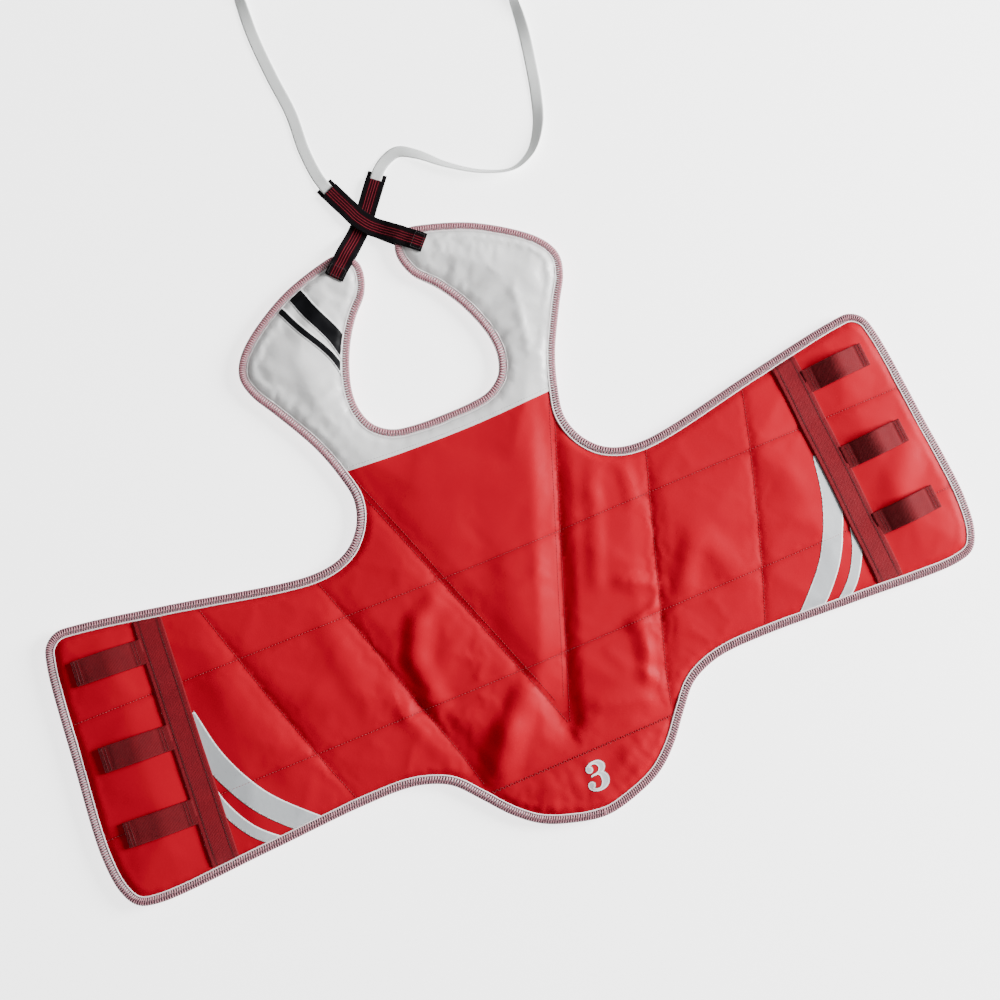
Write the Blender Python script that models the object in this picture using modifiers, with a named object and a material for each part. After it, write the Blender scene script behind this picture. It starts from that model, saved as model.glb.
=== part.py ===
"""Chest protector: a quilted foam vest front with wrap-round wings, lacing loops and neck ties.

It lies flat on its back on the plane z = 0: +X is across the vest, +Y runs towards the neck
and +Z comes out of the front. The wings, shoulders and lower flap fold up about their seams.
The plan is drawn in millimetres from the middle of the chest, and built in metres.
"""

import math

import bmesh
import bpy
from mathutils import Vector

MM = 0.001
DATUM_Y = 12.5  # the origin lies this far up the plan's centre line

# Layers: back cover, foam and front cover, which meet in a thin flange at the edge.
THICK = 15.0
COVER = 1.2
GAP = 0.3
MIDDLE = THICK / 2
CROWN = 16.0  # distance from the edge at which the padding has its full thickness
FLANGE = 10.0  # width of the thin flange that the binding clips over
COVER_INSET = 1.6
FOAM_INSET = 10.6
BIND_WIDTH = 9.5
BIND_WALL = 1.2
BIND_HALF = 2.9  # half the height of the binding

# Fold seams. The hinge axes lie in the front face.
SIDE_FOLD_X = 150.0
SHOULDER_FOLD_Y = 110.0
FLAP_FOLD_Y = -272.0
SEAM = 0.2  # half the slit between two bodies at a fold

# Front panels: a white yoke over a red body with a V-shaped panel let into it.
YOKE_Y = 75.0
V_TOP_X = 115.0
V_TIP_Y = -237.0
V_SLIT = 0.3

# Webbing strip that carries the lacing loops, along the root of each outer flap.
STRIP_WIDTH = 28.0
STRIP_THICK = 1.6
STRIP_TOP = (331.0, 4.0)  # its inner top corner
STRIP_LEAN = math.atan2(15.0, 254.0)  # its foot leans outwards
STRIP_LENGTH = 226.0
LOOP_WIDTH = 25.0
LOOP_THICK = 1.5
LOOP_REACH = 66.0
LOOP_RISE = 8.5
LOOP_FOOT = 9.0
LOOPS_Y = (-16.0, -103.0, -178.0)

# Neck elastics, each two layers that grip a shoulder tip, and the tapes sewn between them.
ELASTIC_WIDTH = 20.0
ELASTIC_THICK = 1.2
TIP_END = (49.0, 262.0)
CROSSING = (0.0, 307.0)
OVER_END = (-22.0, 358.0)
UNDER_END = (34.0, 350.0)
CROSS_FLAT = 18.5  # the elastics lie level for this far on each side of the crossing
TAPE_WIDTH = 12.0
TAPE_THICK = 1.0
COIL_INNER = 48.0
COIL_OUTER = 72.0
COIL_HEIGHT = 13.0
COIL_CENTERS = {"left": (38.0, 635.0), "right": (301.0, 530.0)}

# Half outline of the padding, from the foot of the lower flap to the neckline, counterclockwise.
HALF_OUTLINE = [
    (0, -337), (39, -329), (65, -318), (88, -299), (110, -273), (130, -251),
    (150, -241), (172, -236), (220, -235), (320, -240), (432, -244),
    (451, -238), (461, -222), (466, -185), (459, -90), (449, 8), (443, 26), (430, 35),
    (408, 34), (312, 17), (208, -4), (177, -7), (154, -4), (136, 5), (121, 23), (114, 47),
    (118, 71), (130, 108), (154, 154), (170, 182), (174, 201), (169, 216), (153, 234),
    (104, 265), (57, 281), (40, 284), (28, 280), (20, 270), (19, 257), (26, 237),
    (43, 218), (57, 197), (68, 173), (75, 148), (75, 128), (68, 110), (52, 98), (31, 94),
    (0, 93),
]

# Tape routes after the elastics: x, y, the height of the tape's middle, and its turn on edge.
TAPE_ROUTES = {
    "left": [
        (-18, 347, 2.4, 0), (-22, 358, 2.2, 0), (-25, 372, 0.8, 0), (-27, 400, 0.8, 0),
        (-25, 440, 0.8, 0), (-29, 485, 0.8, 0), (-31, 530, 0.8, 0), (-29, 575, 3.0, 30),
        (-28, 605, 6.5, 90),
    ],
    "right": [
        (27, 341, 2.4, 0), (34, 350, 2.2, 0), (45, 359, 0.8, 0), (60, 364, 0.9, 0),
        (78, 355, 2.0, 20), (104, 332, 4.2, 45), (134, 313, 5.0, 55), (165, 304, 5.2, 60),
        (188, 313, 4.6, 50), (207, 337, 3.2, 30), (219, 370, 1.4, 8), (227, 405, 0.8, 0),
        (233, 440, 2.0, 20), (235, 470, 4.5, 50), (235, 500, 6.5, 90),
    ],
}

COLOURS = {
    "red": (0.62, 0.030, 0.035),
    "blue": (0.030, 0.080, 0.42),
    "white": (0.74, 0.73, 0.72),
    "foam": (0.68, 0.66, 0.58),
    "binding": (0.62, 0.30, 0.33),
    "webbing": (0.36, 0.012, 0.022),
    "elastic": (0.030, 0.008, 0.012),
    "tape": (0.72, 0.74, 0.72),
}
ROUGHNESS = {
    "red": 0.38, "blue": 0.38, "white": 0.30, "foam": 0.9, "binding": 0.8,
    "webbing": 0.75, "elastic": 0.8, "tape": 0.7,
}


# ---------------------------------------------------------------- scene and materials

def start_scene():
    for obj in list(bpy.data.objects):
        bpy.data.objects.remove(obj, do_unlink=True)
    groups = []
    for name in ("chest_protector", "cutters"):
        group = bpy.data.collections.new(name)
        bpy.context.scene.collection.children.link(group)
        groups.append(group)
    return groups


PARTS, CUTTERS = start_scene()


def material(name, finish):
    mat = bpy.data.materials.new(name)
    mat.use_nodes = True
    shader = mat.node_tree.nodes["Principled BSDF"]
    shader.inputs["Base Color"].default_value = (*COLOURS[finish], 1.0)
    shader.inputs["Roughness"].default_value = ROUGHNESS[finish]
    shader.inputs["Metallic"].default_value = 0.0
    mat.diffuse_color = (*COLOURS[finish], 1.0)
    return mat


def add_part(name, data, finish):
    obj = bpy.data.objects.new(name, data)
    PARTS.objects.link(obj)
    data.materials.append(material(name, finish))
    return obj


def add_cutter(name, data):
    obj = bpy.data.objects.new(name, data)
    CUTTERS.objects.link(obj)
    obj.hide_render = True
    obj.display_type = "WIRE"
    return obj


# ---------------------------------------------------------------- plan curves

def plan(x, y, z=0.0):
    """A plan point in millimetres as a point in metres."""
    return Vector((x * MM, (y - DATUM_Y) * MM, z * MM))


def spline_point(p0, p1, p2, p3, t):
    """Catmull-Rom between p1 and p2, with centripetal knots so that corners don't overshoot."""
    knots = [0.0]
    for a, b in ((p0, p1), (p1, p2), (p2, p3)):
        knots.append(knots[-1] + max((b - a).length, 1e-9) ** 0.5)
    k0, k1, k2, k3 = knots
    k = k1 + (k2 - k1) * t
    a1 = p0.lerp(p1, (k - k0) / (k1 - k0))
    a2 = p1.lerp(p2, (k - k1) / (k2 - k1))
    a3 = p2.lerp(p3, (k - k2) / (k3 - k2))
    b1 = a1.lerp(a2, (k - k0) / (k2 - k0))
    b2 = a2.lerp(a3, (k - k1) / (k3 - k1))
    return b1.lerp(b2, (k - k1) / (k2 - k1))


def smooth_open(points, spacing):
    """A smooth curve through the points, with steps of about the spacing."""
    ends = [2 * points[0] - points[1], *points, 2 * points[-1] - points[-2]]
    curve = []
    for p0, p1, p2, p3 in zip(ends, ends[1:], ends[2:], ends[3:]):
        steps = max(1, round((p2 - p1).length / spacing))
        curve += [spline_point(p0, p1, p2, p3, i / steps) for i in range(steps)]
    return curve + [points[-1]]


def full_outline():
    """The whole edge of the padding: the half outline and its mirror image."""
    half = [Vector(p) for p in HALF_OUTLINE]
    mirrored = [Vector((-x, y)) for x, y in HALF_OUTLINE]
    ends = [mirrored[1], *half, mirrored[-2]]
    curve = []
    for p0, p1, p2, p3 in zip(ends, ends[1:], ends[2:], ends[3:]):
        bend = (p1 - p0).angle(p3 - p2)
        steps = 2 if bend > math.radians(40) or (p2 - p1).length > 60 else 1
        curve += [spline_point(p0, p1, p2, p3, i / steps) for i in range(steps)]
    curve.append(half[-1])
    back = [Vector((-p.x, p.y)) for p in reversed(curve[1:-1])]
    return curve + back


def inward(outline):
    """For each outline point its inward normal, shortened where a corner is too tight for a full inset."""
    count = len(outline)
    steps = []
    for i in range(count):
        before = outline[i] - outline[i - 1]
        after = outline[(i + 1) % count] - outline[i]
        along = (before.normalized() + after.normalized()).normalized()
        turn = math.atan2(before.x * after.y - before.y * after.x, before.dot(after))
        radius = (before.length + after.length) / 2 / max(turn, 1e-6)
        steps.append((Vector((-along.y, along.x)), min(1.0, 0.8 * radius / CROWN)))
    shares = [s for _, s in steps]
    for _ in range(3):
        shares = [
            min(shares[i], (shares[i - 1] + shares[i] + shares[(i + 1) % count]) / 3)
            for i in range(count)
        ]
    return [normal * share for (normal, _), share in zip(steps, shares)]


OUTLINE = full_outline()
INWARD = inward(OUTLINE)


def ring(inset, z):
    """The outline moved inwards by the inset, at height z."""
    return [plan(*(p + n * inset), z) for p, n in zip(OUTLINE, INWARD)]


# ---------------------------------------------------------------- mesh helpers

def loft(name, rings, capped):
    """A surface through closed rings of equal count, capped at both ends or joined last to first."""
    bm = bmesh.new()
    loops = [[bm.verts.new(p) for p in points] for points in rings]
    pairs = list(zip(loops, loops[1:]))
    if not capped:
        pairs.append((loops[-1], loops[0]))
    for low, high in pairs:
        for i in range(len(low)):
            j = (i + 1) % len(low)
            bm.faces.new((low[i], low[j], high[j], high[i]))
    if capped:
        bm.faces.new(loops[0][::-1])
        bm.faces.new(loops[-1])
    mesh = bpy.data.meshes.new(name)
    bm.to_mesh(mesh)
    bm.free()
    return mesh


def sheet_between(name, rings):
    """An open surface through closed rings, with a face across the last one."""
    bm = bmesh.new()
    loops = [[bm.verts.new(p) for p in points] for points in rings]
    for low, high in zip(loops, loops[1:]):
        for i in range(len(low)):
            j = (i + 1) % len(low)
            bm.faces.new((low[i], low[j], high[j], high[i]))
    bm.faces.new(loops[-1])
    mesh = bpy.data.meshes.new(name)
    bm.to_mesh(mesh)
    bm.free()
    return mesh


def solidify(obj, thickness, offset):
    mod = obj.modifiers.new("thickness", "SOLIDIFY")
    mod.thickness = thickness * MM
    mod.offset = offset
    mod.use_even_offset = True


def keep_region(obj, cutter):
    mod = obj.modifiers.new("region", "BOOLEAN")
    mod.operation = "INTERSECT"
    mod.solver = "EXACT"
    mod.object = cutter


def prism(name, corners):
    """A tall column over a plan polygon, counterclockwise, which cuts one region out of a layer."""
    low = [plan(x, y, -20.0) for x, y in corners]
    high = [plan(x, y, 40.0) for x, y in corners]
    return add_cutter(name, loft(name, [low, high], capped=True))


def mirrored(corners):
    return [(-x, y) for x, y in reversed(corners)]


def box(x0, x1, y0, y1):
    return [(x0, y0), (x1, y0), (x1, y1), (x0, y1)]


def flat_strip(name, stations, across, width, thickness, finish):
    """A band of webbing: its middle line runs through the stations, its width lies along across."""
    bm = bmesh.new()
    half = Vector((across[0], across[1], 0.0)).normalized() * width / 2 * MM
    rows = [(bm.verts.new(p - half), bm.verts.new(p + half)) for p in stations]
    for (a, b), (c, d) in zip(rows, rows[1:]):
        bm.faces.new((a, b, d, c))
    mesh = bpy.data.meshes.new(name)
    bm.to_mesh(mesh)
    bm.free()
    obj = add_part(name, mesh, finish)
    solidify(obj, thickness, 0.0)
    return obj


# ---------------------------------------------------------------- padding

def fold_line_x(y):
    """Where the back fold runs: just inside the webbing strip, and leaning with it."""
    return STRIP_TOP[0] - 1.0 + (STRIP_TOP[1] - y) * math.tan(STRIP_LEAN)


def wing_region(low, high):
    """The right wing between its two folds, from one height in the plan to another."""
    return [
        (SIDE_FOLD_X + SEAM, low), (fold_line_x(low) - SEAM, low),
        (fold_line_x(high) - SEAM, high), (SIDE_FOLD_X + SEAM, high),
    ]


def body_regions():
    """The plan region of every body, by the name that its pieces share."""
    wing = wing_region(-400, 80)
    flap = [
        (fold_line_x(-400) + SEAM, -400), (600, -400), (600, 80), (fold_line_x(80) + SEAM, 80),
    ]
    shoulder = box(1, 300, SHOULDER_FOLD_Y + SEAM, 400)
    half = SIDE_FOLD_X - SEAM
    return {
        "torso": box(-half, half, FLAP_FOLD_Y + SEAM, SHOULDER_FOLD_Y - SEAM),
        "wing_right": wing,
        "wing_left": mirrored(wing),
        "flap_right": flap,
        "flap_left": mirrored(flap),
        "shoulder_right": shoulder,
        "shoulder_left": mirrored(shoulder),
        "lower_flap": box(-200, 200, -400, FLAP_FOLD_Y - SEAM),
    }


def torso_panels():
    """The torso's front in three pieces: yoke, V panel and the body panel round it."""
    half = SIDE_FOLD_X - SEAM
    low, top = FLAP_FOLD_Y + SEAM, YOKE_Y - SEAM
    return {
        "yoke": box(-half, half, YOKE_Y + SEAM, SHOULDER_FOLD_Y - SEAM),
        "v_panel": [(-V_TOP_X, top), (0, V_TIP_Y), (V_TOP_X, top)],
        "body_panel": [
            (-half, low), (half, low), (half, top), (V_TOP_X + V_SLIT, top),
            (0, V_TIP_Y - 3 * V_SLIT), (-V_TOP_X - V_SLIT, top), (-half, top),
        ],
    }


def binding_regions(regions):
    """The edge binding is one piece for each unbroken stretch of edge that a body has."""
    half = SIDE_FOLD_X - SEAM
    low, top = FLAP_FOLD_Y + SEAM, SHOULDER_FOLD_Y - SEAM
    armpit, waist = box(95, half, -60, top), box(60, half, low, -200)
    wing_top, wing_foot = wing_region(-100, 80), wing_region(-400, -140)
    pieces = {"binding_neck": box(-95, 95, 85, top)}
    for name, corners in (
        ("armpit", armpit), ("waist", waist), ("wing_top", wing_top), ("wing_foot", wing_foot),
    ):
        pieces[f"binding_{name}_right"] = corners
        pieces[f"binding_{name}_left"] = mirrored(corners)
    for body in ("flap_right", "flap_left", "shoulder_right", "shoulder_left", "lower_flap"):
        pieces[f"binding_{body}"] = regions[body]
    return pieces


def layer_meshes():
    """Each layer of the whole vest: the open sheets of the covers, the foam and the binding."""
    crown = THICK - COVER
    top = [
        ring(COVER_INSET, MIDDLE + GAP / 2), ring(FLANGE, MIDDLE + GAP / 2), ring(CROWN, crown),
    ]
    bottom = [
        ring(COVER_INSET, MIDDLE - GAP / 2), ring(FLANGE, MIDDLE - GAP / 2), ring(CROWN, COVER),
    ]
    rim, core = 0.25, MIDDLE - COVER - GAP
    foam = [
        ring(CROWN + 0.2, MIDDLE - core), ring(FOAM_INSET, MIDDLE - rim),
        ring(FOAM_INSET, MIDDLE + rim), ring(CROWN + 0.2, MIDDLE + core),
    ]
    clip = COVER + 2 * GAP
    section = [
        (0.0, -BIND_HALF), (0.0, BIND_HALF), (BIND_WIDTH, BIND_HALF), (BIND_WIDTH, clip),
        (BIND_WALL, clip), (BIND_WALL, -clip), (BIND_WIDTH, -clip), (BIND_WIDTH, -BIND_HALF),
    ]
    binding = [ring(inset, MIDDLE + dz) for inset, dz in section]
    return (
        sheet_between("front_sheet", top), sheet_between("back_sheet", bottom),
        loft("foam_layer", foam, capped=True), loft("binding_layer", binding, capped=False),
    )


def make_padding():
    front, back, foam, binding = layer_meshes()
    regions = body_regions()
    cutters = {name: prism(f"region_{name}", corners) for name, corners in regions.items()}

    def cut_piece(name, mesh, cutter, finish, offset=None):
        obj = add_part(name, mesh.copy(), finish)
        if offset is not None:
            solidify(obj, COVER, offset)
        keep_region(obj, cutter)

    for body, cutter in cutters.items():
        white = body.startswith("shoulder")
        if body == "torso":
            for panel, corners in torso_panels().items():
                panel_cutter = prism(f"region_{panel}", corners)
                finish = "white" if panel == "yoke" else "red"
                cut_piece(f"front_{panel}", front, panel_cutter, finish, 1.0)
        else:
            cut_piece(f"front_cover_{body}", front, cutter, "white" if white else "red", 1.0)
        cut_piece(f"back_cover_{body}", back, cutter, "white" if white else "blue", -1.0)
        cut_piece(f"foam_{body}", foam, cutter, "foam")
    for name, corners in binding_regions(regions).items():
        cut_piece(name, binding, prism(f"region_{name}", corners), "binding")


# ---------------------------------------------------------------- webbing

def make_webbing(side, sign):
    """The strip on one outer flap, and its three loops."""
    along = Vector((math.sin(STRIP_LEAN), -math.cos(STRIP_LEAN)))
    out = Vector((math.cos(STRIP_LEAN), math.sin(STRIP_LEAN)))
    corner = Vector(STRIP_TOP)
    rest = THICK + GAP + STRIP_THICK / 2
    head = corner + out * STRIP_WIDTH / 2
    foot = head + along * STRIP_LENGTH
    stations = [plan(sign * p.x, p.y, rest) for p in (head, foot)]
    flat_strip(
        f"webbing_strip_{side}", stations, (sign * out.x, out.y), STRIP_WIDTH, STRIP_THICK,
        "webbing",
    )
    base = THICK + GAP + LOOP_THICK / 2
    for number, y in enumerate(LOOPS_Y, start=1):
        root = corner + along * (corner.y - y) / math.cos(STRIP_LEAN)
        root += out * (STRIP_WIDTH + GAP)
        stations = []
        for distance, rise in arch_profile():
            p = root + out * distance
            stations.append(plan(sign * p.x, p.y, base + rise))
        flat_strip(
            f"lacing_loop_{side}_{number}", stations, (sign * along.x, along.y), LOOP_WIDTH,
            LOOP_THICK, "webbing",
        )


def arch_profile():
    """A belt loop seen from the side: a sewn foot, an arch and a sewn foot, as distance and rise."""
    span = LOOP_REACH - 2 * LOOP_FOOT
    steps = 10
    arch = []
    for i in range(steps + 1):
        turn = math.pi * i / steps
        rise = LOOP_RISE * math.sin(turn) ** 0.7 if 0 < i < steps else 0.0
        arch.append((LOOP_FOOT + span * (1 - math.cos(turn)) / 2, rise))
    return [(0.0, 0.0), *arch, (LOOP_REACH, 0.0)]


# ---------------------------------------------------------------- elastics and ties

def make_elastic(side, sign, end, crossing_z):
    """The front and back layers of one neck elastic, from the shoulder tip over the crossing."""
    tip = Vector((sign * TIP_END[0], TIP_END[1]))
    cross, end = Vector(CROSSING), Vector(end)
    reach = (cross - tip).length
    away = (end - cross).length
    lie = {"front": 3.8, "back": 0.9}
    climb = {
        "front": [(0, 15.9), (16, 15.9), (22, 12.6), (30, 11.4)],
        "back": [(23.5, 3.4), (30, 3.4)],
    }
    for layer, climbs in climb.items():
        points = [(tip.lerp(cross, t / reach), z) for t, z in climbs]
        level = crossing_z[layer]
        points.append((cross.lerp(tip, CROSS_FLAT / reach), level))
        points.append((cross.lerp(tip, 7 / reach), level))
        points.append((cross.lerp(end, 8 / away), level))
        points.append((cross.lerp(end, CROSS_FLAT / away), level))
        points += [(cross.lerp(end, 0.75), lie[layer]), (end, lie[layer])]
        bm = bmesh.new()
        rows = []
        for i, (p, z) in enumerate(points):
            before = points[max(i - 1, 0)][0]
            after = points[min(i + 1, len(points) - 1)][0]
            along = (after - before).normalized()
            half = Vector((-along.y, along.x)) * ELASTIC_WIDTH / 2
            rows.append([bm.verts.new(plan(q.x, q.y, z)) for q in (p - half, p + half)])
        for (a, b), (c, d) in zip(rows, rows[1:]):
            bm.faces.new((a, c, d, b))
        mesh = bpy.data.meshes.new(f"elastic_{layer}_{side}")
        bm.to_mesh(mesh)
        bm.free()
        solidify(add_part(f"elastic_{layer}_{side}", mesh, "elastic"), ELASTIC_THICK, 0.0)


def make_tape(side):
    """The free stretch of a neck tie, a flat tape, and the ring that its coiled rest fills."""
    route = TAPE_ROUTES[side]
    path = smooth_open([plan(x, y, z) for x, y, z, _ in route], 12 * MM)
    turns = smooth_open([Vector((turn, 0.0, 0.0)) for *_, turn in route], 1e9)
    lengths = [0.0]
    for a, b in zip(path, path[1:]):
        lengths.append(lengths[-1] + (b - a).length)
    marks = [0.0]
    for a, b in zip(route, route[1:]):
        marks.append(marks[-1] + (plan(*b[:3]) - plan(*a[:3])).length)
    curve = bpy.data.curves.new(f"neck_tie_{side}", "CURVE")
    curve.dimensions = "3D"
    curve.twist_mode = "Z_UP"
    curve.extrude = (TAPE_WIDTH - TAPE_THICK) / 2 * MM
    curve.bevel_depth = TAPE_THICK / 2 * MM
    curve.bevel_resolution = 1
    curve.use_fill_caps = True
    spline = curve.splines.new("POLY")
    spline.points.add(len(path) - 1)
    for point, where, length in zip(spline.points, path, lengths):
        share = length / lengths[-1] * marks[-1]
        i = max(k for k in range(len(marks) - 1) if marks[k] <= share)
        t = min((share - marks[i]) / (marks[i + 1] - marks[i]), 1.0)
        turn = turns[i].lerp(turns[i + 1], t).x
        point.co = (*where, 1.0)
        point.tilt = math.radians(90 - turn)
    add_part(f"neck_tie_{side}", curve, "tape")

    profile = bpy.data.meshes.new(f"tie_coil_{side}")
    bm = bmesh.new()
    corners = [
        (COIL_INNER, COIL_HEIGHT), (COIL_OUTER, COIL_HEIGHT), (COIL_OUTER, GAP), (COIL_INNER, GAP),
    ]
    verts = [bm.verts.new((x * MM, 0.0, z * MM)) for x, z in corners]
    for a, b in zip(verts, verts[1:] + verts[:1]):
        bm.edges.new((a, b))
    bm.to_mesh(profile)
    bm.free()
    coil = add_part(f"tie_coil_{side}", profile, "tape")
    coil.location = plan(*COIL_CENTERS[side])
    screw = coil.modifiers.new("turn", "SCREW")
    screw.steps = screw.render_steps = 28
    screw.use_merge_vertices = True
    screw.merge_threshold = 0.00001


make_padding()
for side_name, side_sign in (("right", 1), ("left", -1)):
    make_webbing(side_name, side_sign)
make_elastic("right", 1, OVER_END, {"front": 5.4, "back": 3.9})
make_elastic("left", -1, UNDER_END, {"front": 2.4, "back": 0.9})
for side_name in TAPE_ROUTES:
    make_tape(side_name)
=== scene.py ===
"""Looks for the chest protector: quilted leatherette covers, bound edges, webbing, elastics and ties.

The plan is drawn in millimetres from the middle of the chest, as in the CAD source, and turned
into metres when a mesh is made. Covers, binding and stitches are made for the whole vest, and
then split at the folds into a piece for each region.
"""
import math
from collections import defaultdict

import bpy
import numpy as np
from mathutils import Matrix, Vector
from mathutils.bvhtree import BVHTree
from mathutils.geometry import delaunay_2d_cdt
from mathutils.kdtree import KDTree

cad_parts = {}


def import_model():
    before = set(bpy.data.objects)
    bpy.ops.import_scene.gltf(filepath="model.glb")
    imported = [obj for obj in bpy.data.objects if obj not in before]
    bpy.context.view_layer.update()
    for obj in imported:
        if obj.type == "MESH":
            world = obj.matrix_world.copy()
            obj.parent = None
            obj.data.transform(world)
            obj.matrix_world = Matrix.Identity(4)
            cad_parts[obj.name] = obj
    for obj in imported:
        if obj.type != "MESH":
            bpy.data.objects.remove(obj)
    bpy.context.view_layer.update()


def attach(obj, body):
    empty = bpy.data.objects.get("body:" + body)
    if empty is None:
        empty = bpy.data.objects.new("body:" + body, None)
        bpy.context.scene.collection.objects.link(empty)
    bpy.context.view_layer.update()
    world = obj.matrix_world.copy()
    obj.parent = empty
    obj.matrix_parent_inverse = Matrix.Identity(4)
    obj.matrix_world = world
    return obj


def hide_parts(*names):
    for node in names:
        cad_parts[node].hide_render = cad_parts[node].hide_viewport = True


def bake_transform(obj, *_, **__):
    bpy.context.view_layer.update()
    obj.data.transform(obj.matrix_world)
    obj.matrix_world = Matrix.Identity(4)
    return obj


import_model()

MM = 0.001
DATUM_Y = 12.5  # the origin lies this far up the plan's centre line
SIDES = (("right", 1), ("left", -1))

# ---------------------------------------------------------------- driving sizes, in plan millimetres

THICK = 15.0
MIDDLE = THICK / 2
FLANGE_HALF = 1.5  # half the thickness of the two covers where they are bound together
LIP = 15.5  # distance from the edge at which the covers have parted
CROWN = 72.0  # distance from the edge at which the padding has its full thickness
LIP_SHARE = 0.36  # share of the padding's rise that comes by the lip
BIND_WIDTH = 9.6
PADDING_START = 9.0  # distance from the edge at which the covers begin to part
SIDE_FOLD_X = 150.0
SHOULDER_FOLD_Y = 110.0
FLAP_FOLD_Y = -272.0
WING_SPLIT_X = 240.0
YOKE_END_Y, YOKE_SAG, YOKE_HALF = 76.0, 5.0, 114.0
YOKE_PROUD = 0.8
STRIP_TOP = (331.0, 4.0)
STRIP_LEAN = math.atan2(15.0, 254.0)
STRIP_WIDTH = 28.0
STRIP_THICK = 1.6
LOOP_WIDTH = 25.0
LOOP_THICK = 1.5
LOOP_REACH = 66.0
LOOPS_Y = (-16.0, -103.0, -178.0)

# How far the cloth takes to turn at each fold.
SIDE_TURN = 65.0
BACK_TURN = 42.0
SHOULDER_TURN = 55.0
FLAP_TURN = 34.0

HALF_OUTLINE = [
    (0, -337), (39, -329), (65, -318), (88, -299), (110, -273), (130, -251),
    (150, -241), (172, -236), (220, -235), (320, -240), (432, -244),
    (451, -238), (461, -222), (466, -185), (459, -90), (449, 8), (443, 26), (430, 35),
    (408, 34), (312, 17), (208, -4), (177, -7), (154, -4), (136, 5), (121, 23), (114, 47),
    (118, 71), (130, 108), (154, 154), (170, 182), (174, 201), (169, 216), (153, 234),
    (104, 265), (57, 281), (40, 284), (28, 280), (20, 270), (19, 257), (26, 237),
    (43, 218), (57, 197), (68, 173), (75, 148), (75, 128), (68, 110), (52, 98), (31, 94),
    (0, 93),
]

# Quilting: lines on the right that are mirrored, and lines that run right across.
V_ARM = [(114, 74), (58, -80), (1, -238)]
FANS = [
    [(181, -7), (153, -92), (128, -172), (110, -228), (101, -262)],
    [(298, 15), (262, -105), (240, -172), (217, -236)],
]
ACROSS = [
    [(-462, -55), (-150, -58), (0, -60), (150, -58), (462, -55)],
    [(-466, -170), (-150, -172), (0, -173), (150, -172), (466, -170)],
]
FLAP_SEAM = [(-111, -272), (0, -272), (111, -272)]

# How the seams draw the front down: depth at the seam's start and at its end, and how far the slope
# reaches on its west and east sides (south and north, for a seam that runs across).
VALLEYS = {
    "v_right": (5.8, 6.8, 29, 14), "v_left": (2.6, 3.8, 16, 22),
    "fan_right_0": (2.4, 5.6, 24, 15), "fan_left_0": (2.6, 6.0, 20, 20),
    "fan_right_1": (1.0, 1.8, 16, 12), "fan_left_1": (1.4, 3.6, 17, 15),
    "across_0": (0.7, 0.7, 10, 12), "across_1": (0.8, 0.8, 12, 10), "flap": (1.0, 1.0, 12, 12),
}
STRIP_VALLEY, STRIP_SLOPE = 3.2, 32.0  # the webbing strips are sewn down through the padding

# Loose folds of the front: start and end in the plan, how far the slope reaches to the left and to
# the right of that way, height (negative in a valley), and whether the crest is sharp.
FOLDS = [
    (-78, -74, -104, -88, 18, 14, 2.2, 0), (-104, -88, -119, -125, 23, 14, 3.8, 0),
    (-119, -125, -117, -172, 22, 14, 3.8, 0), (-152, -135, -146, -170, 14, 14, 2.2, 1),
    (-146, -170, -118, -236, 13, 16, 2.4, 1), (-88, -262, -60, -222, 22, 26, 6.4, 0),
    (-60, -222, -20, -188, 20, 26, 5.0, 0), (100, -128, 136, -148, 12, 14, 3.3, 1),
    (92, -174, 128, -164, 10, 12, 2.8, 1), (103, -178, 99, -206, 14, 15, 3.8, 1),
    (99, -206, 89, -224, 13, 15, 3.7, 1), (89, -224, 104, -250, 14, 13, 3.2, 1),
    (182, -118, 156, -162, 20, 16, 2.8, 0), (28, -232, 100, -254, 14, 12, 2.2, 1),
    (122, -8, 106, -40, 13, 12, 1.6, 0), (150, -16, 144, -60, 13, 12, 1.8, 0),
    (112, -36, 78, -122, 13, 14, 1.8, 0), (20, -302, 66, -280, 12, 14, 2.4, 1),
    (-16, -296, -74, -282, 12, 12, 1.8, 1), (36, -318, 52, -300, 9, 9, 1.8, 1),
    (-40, -320, -48, -304, 9, 9, 1.6, 1), (6, -328, 8, -316, 8, 8, 1.5, 1),
    (446, -100, 398, -152, 26, 24, 2.4, 0), (190, -112, 212, -168, 24, 22, 2.2, 0),
    (250, -128, 300, -138, 18, 16, 1.4, 0), (-252, -162, -219, -228, 13, 12, 2.0, 1),
    (-258, -96, -216, -120, 24, 24, 1.8, 0), (-300, -70, -262, -190, 30, 30, 1.6, 0),
    (280, -40, 300, -110, 26, 26, 1.4, 0), (-190, -60, -176, -150, 22, 20, 1.6, 0),
    (-60, 46, 20, 20, 26, 26, 1.0, 0), (-14, -130, 6, -60, 24, 24, 1.2, 0),
    (95, 240, 112, 182, 5, 5, 0.5, 0), (112, 182, 108, 128, 5, 5, 0.5, 0),
    (-116, 101, -24, 89, 5, 8, 0.9, 0), (-24, 89, 60, 84, 5, 6, 0.7, 0),
    (80, 268, 50, 236, 5, 5, 0.8, 0), (72, 272, 44, 244, 4, 4, -0.7, 0),
    (130, 150, 142, 214, 20, 20, 1.4, 0), (-92, 136, -112, 196, 18, 18, 1.8, 0),
    (-62, 226, -74, 262, 10, 10, 0.9, 0), (-120, 150, -146, 205, 16, 16, 1.2, 0),
    (82, 112, 98, 148, 10, 10, 1.2, 1), (104, 92, 112, 118, 8, 8, 1.0, 1),
    (86, 62, 31, -80, 27, 60, 3.0, 1), (31, -80, -1, -168, 27, 50, 3.0, 1),
]

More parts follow.
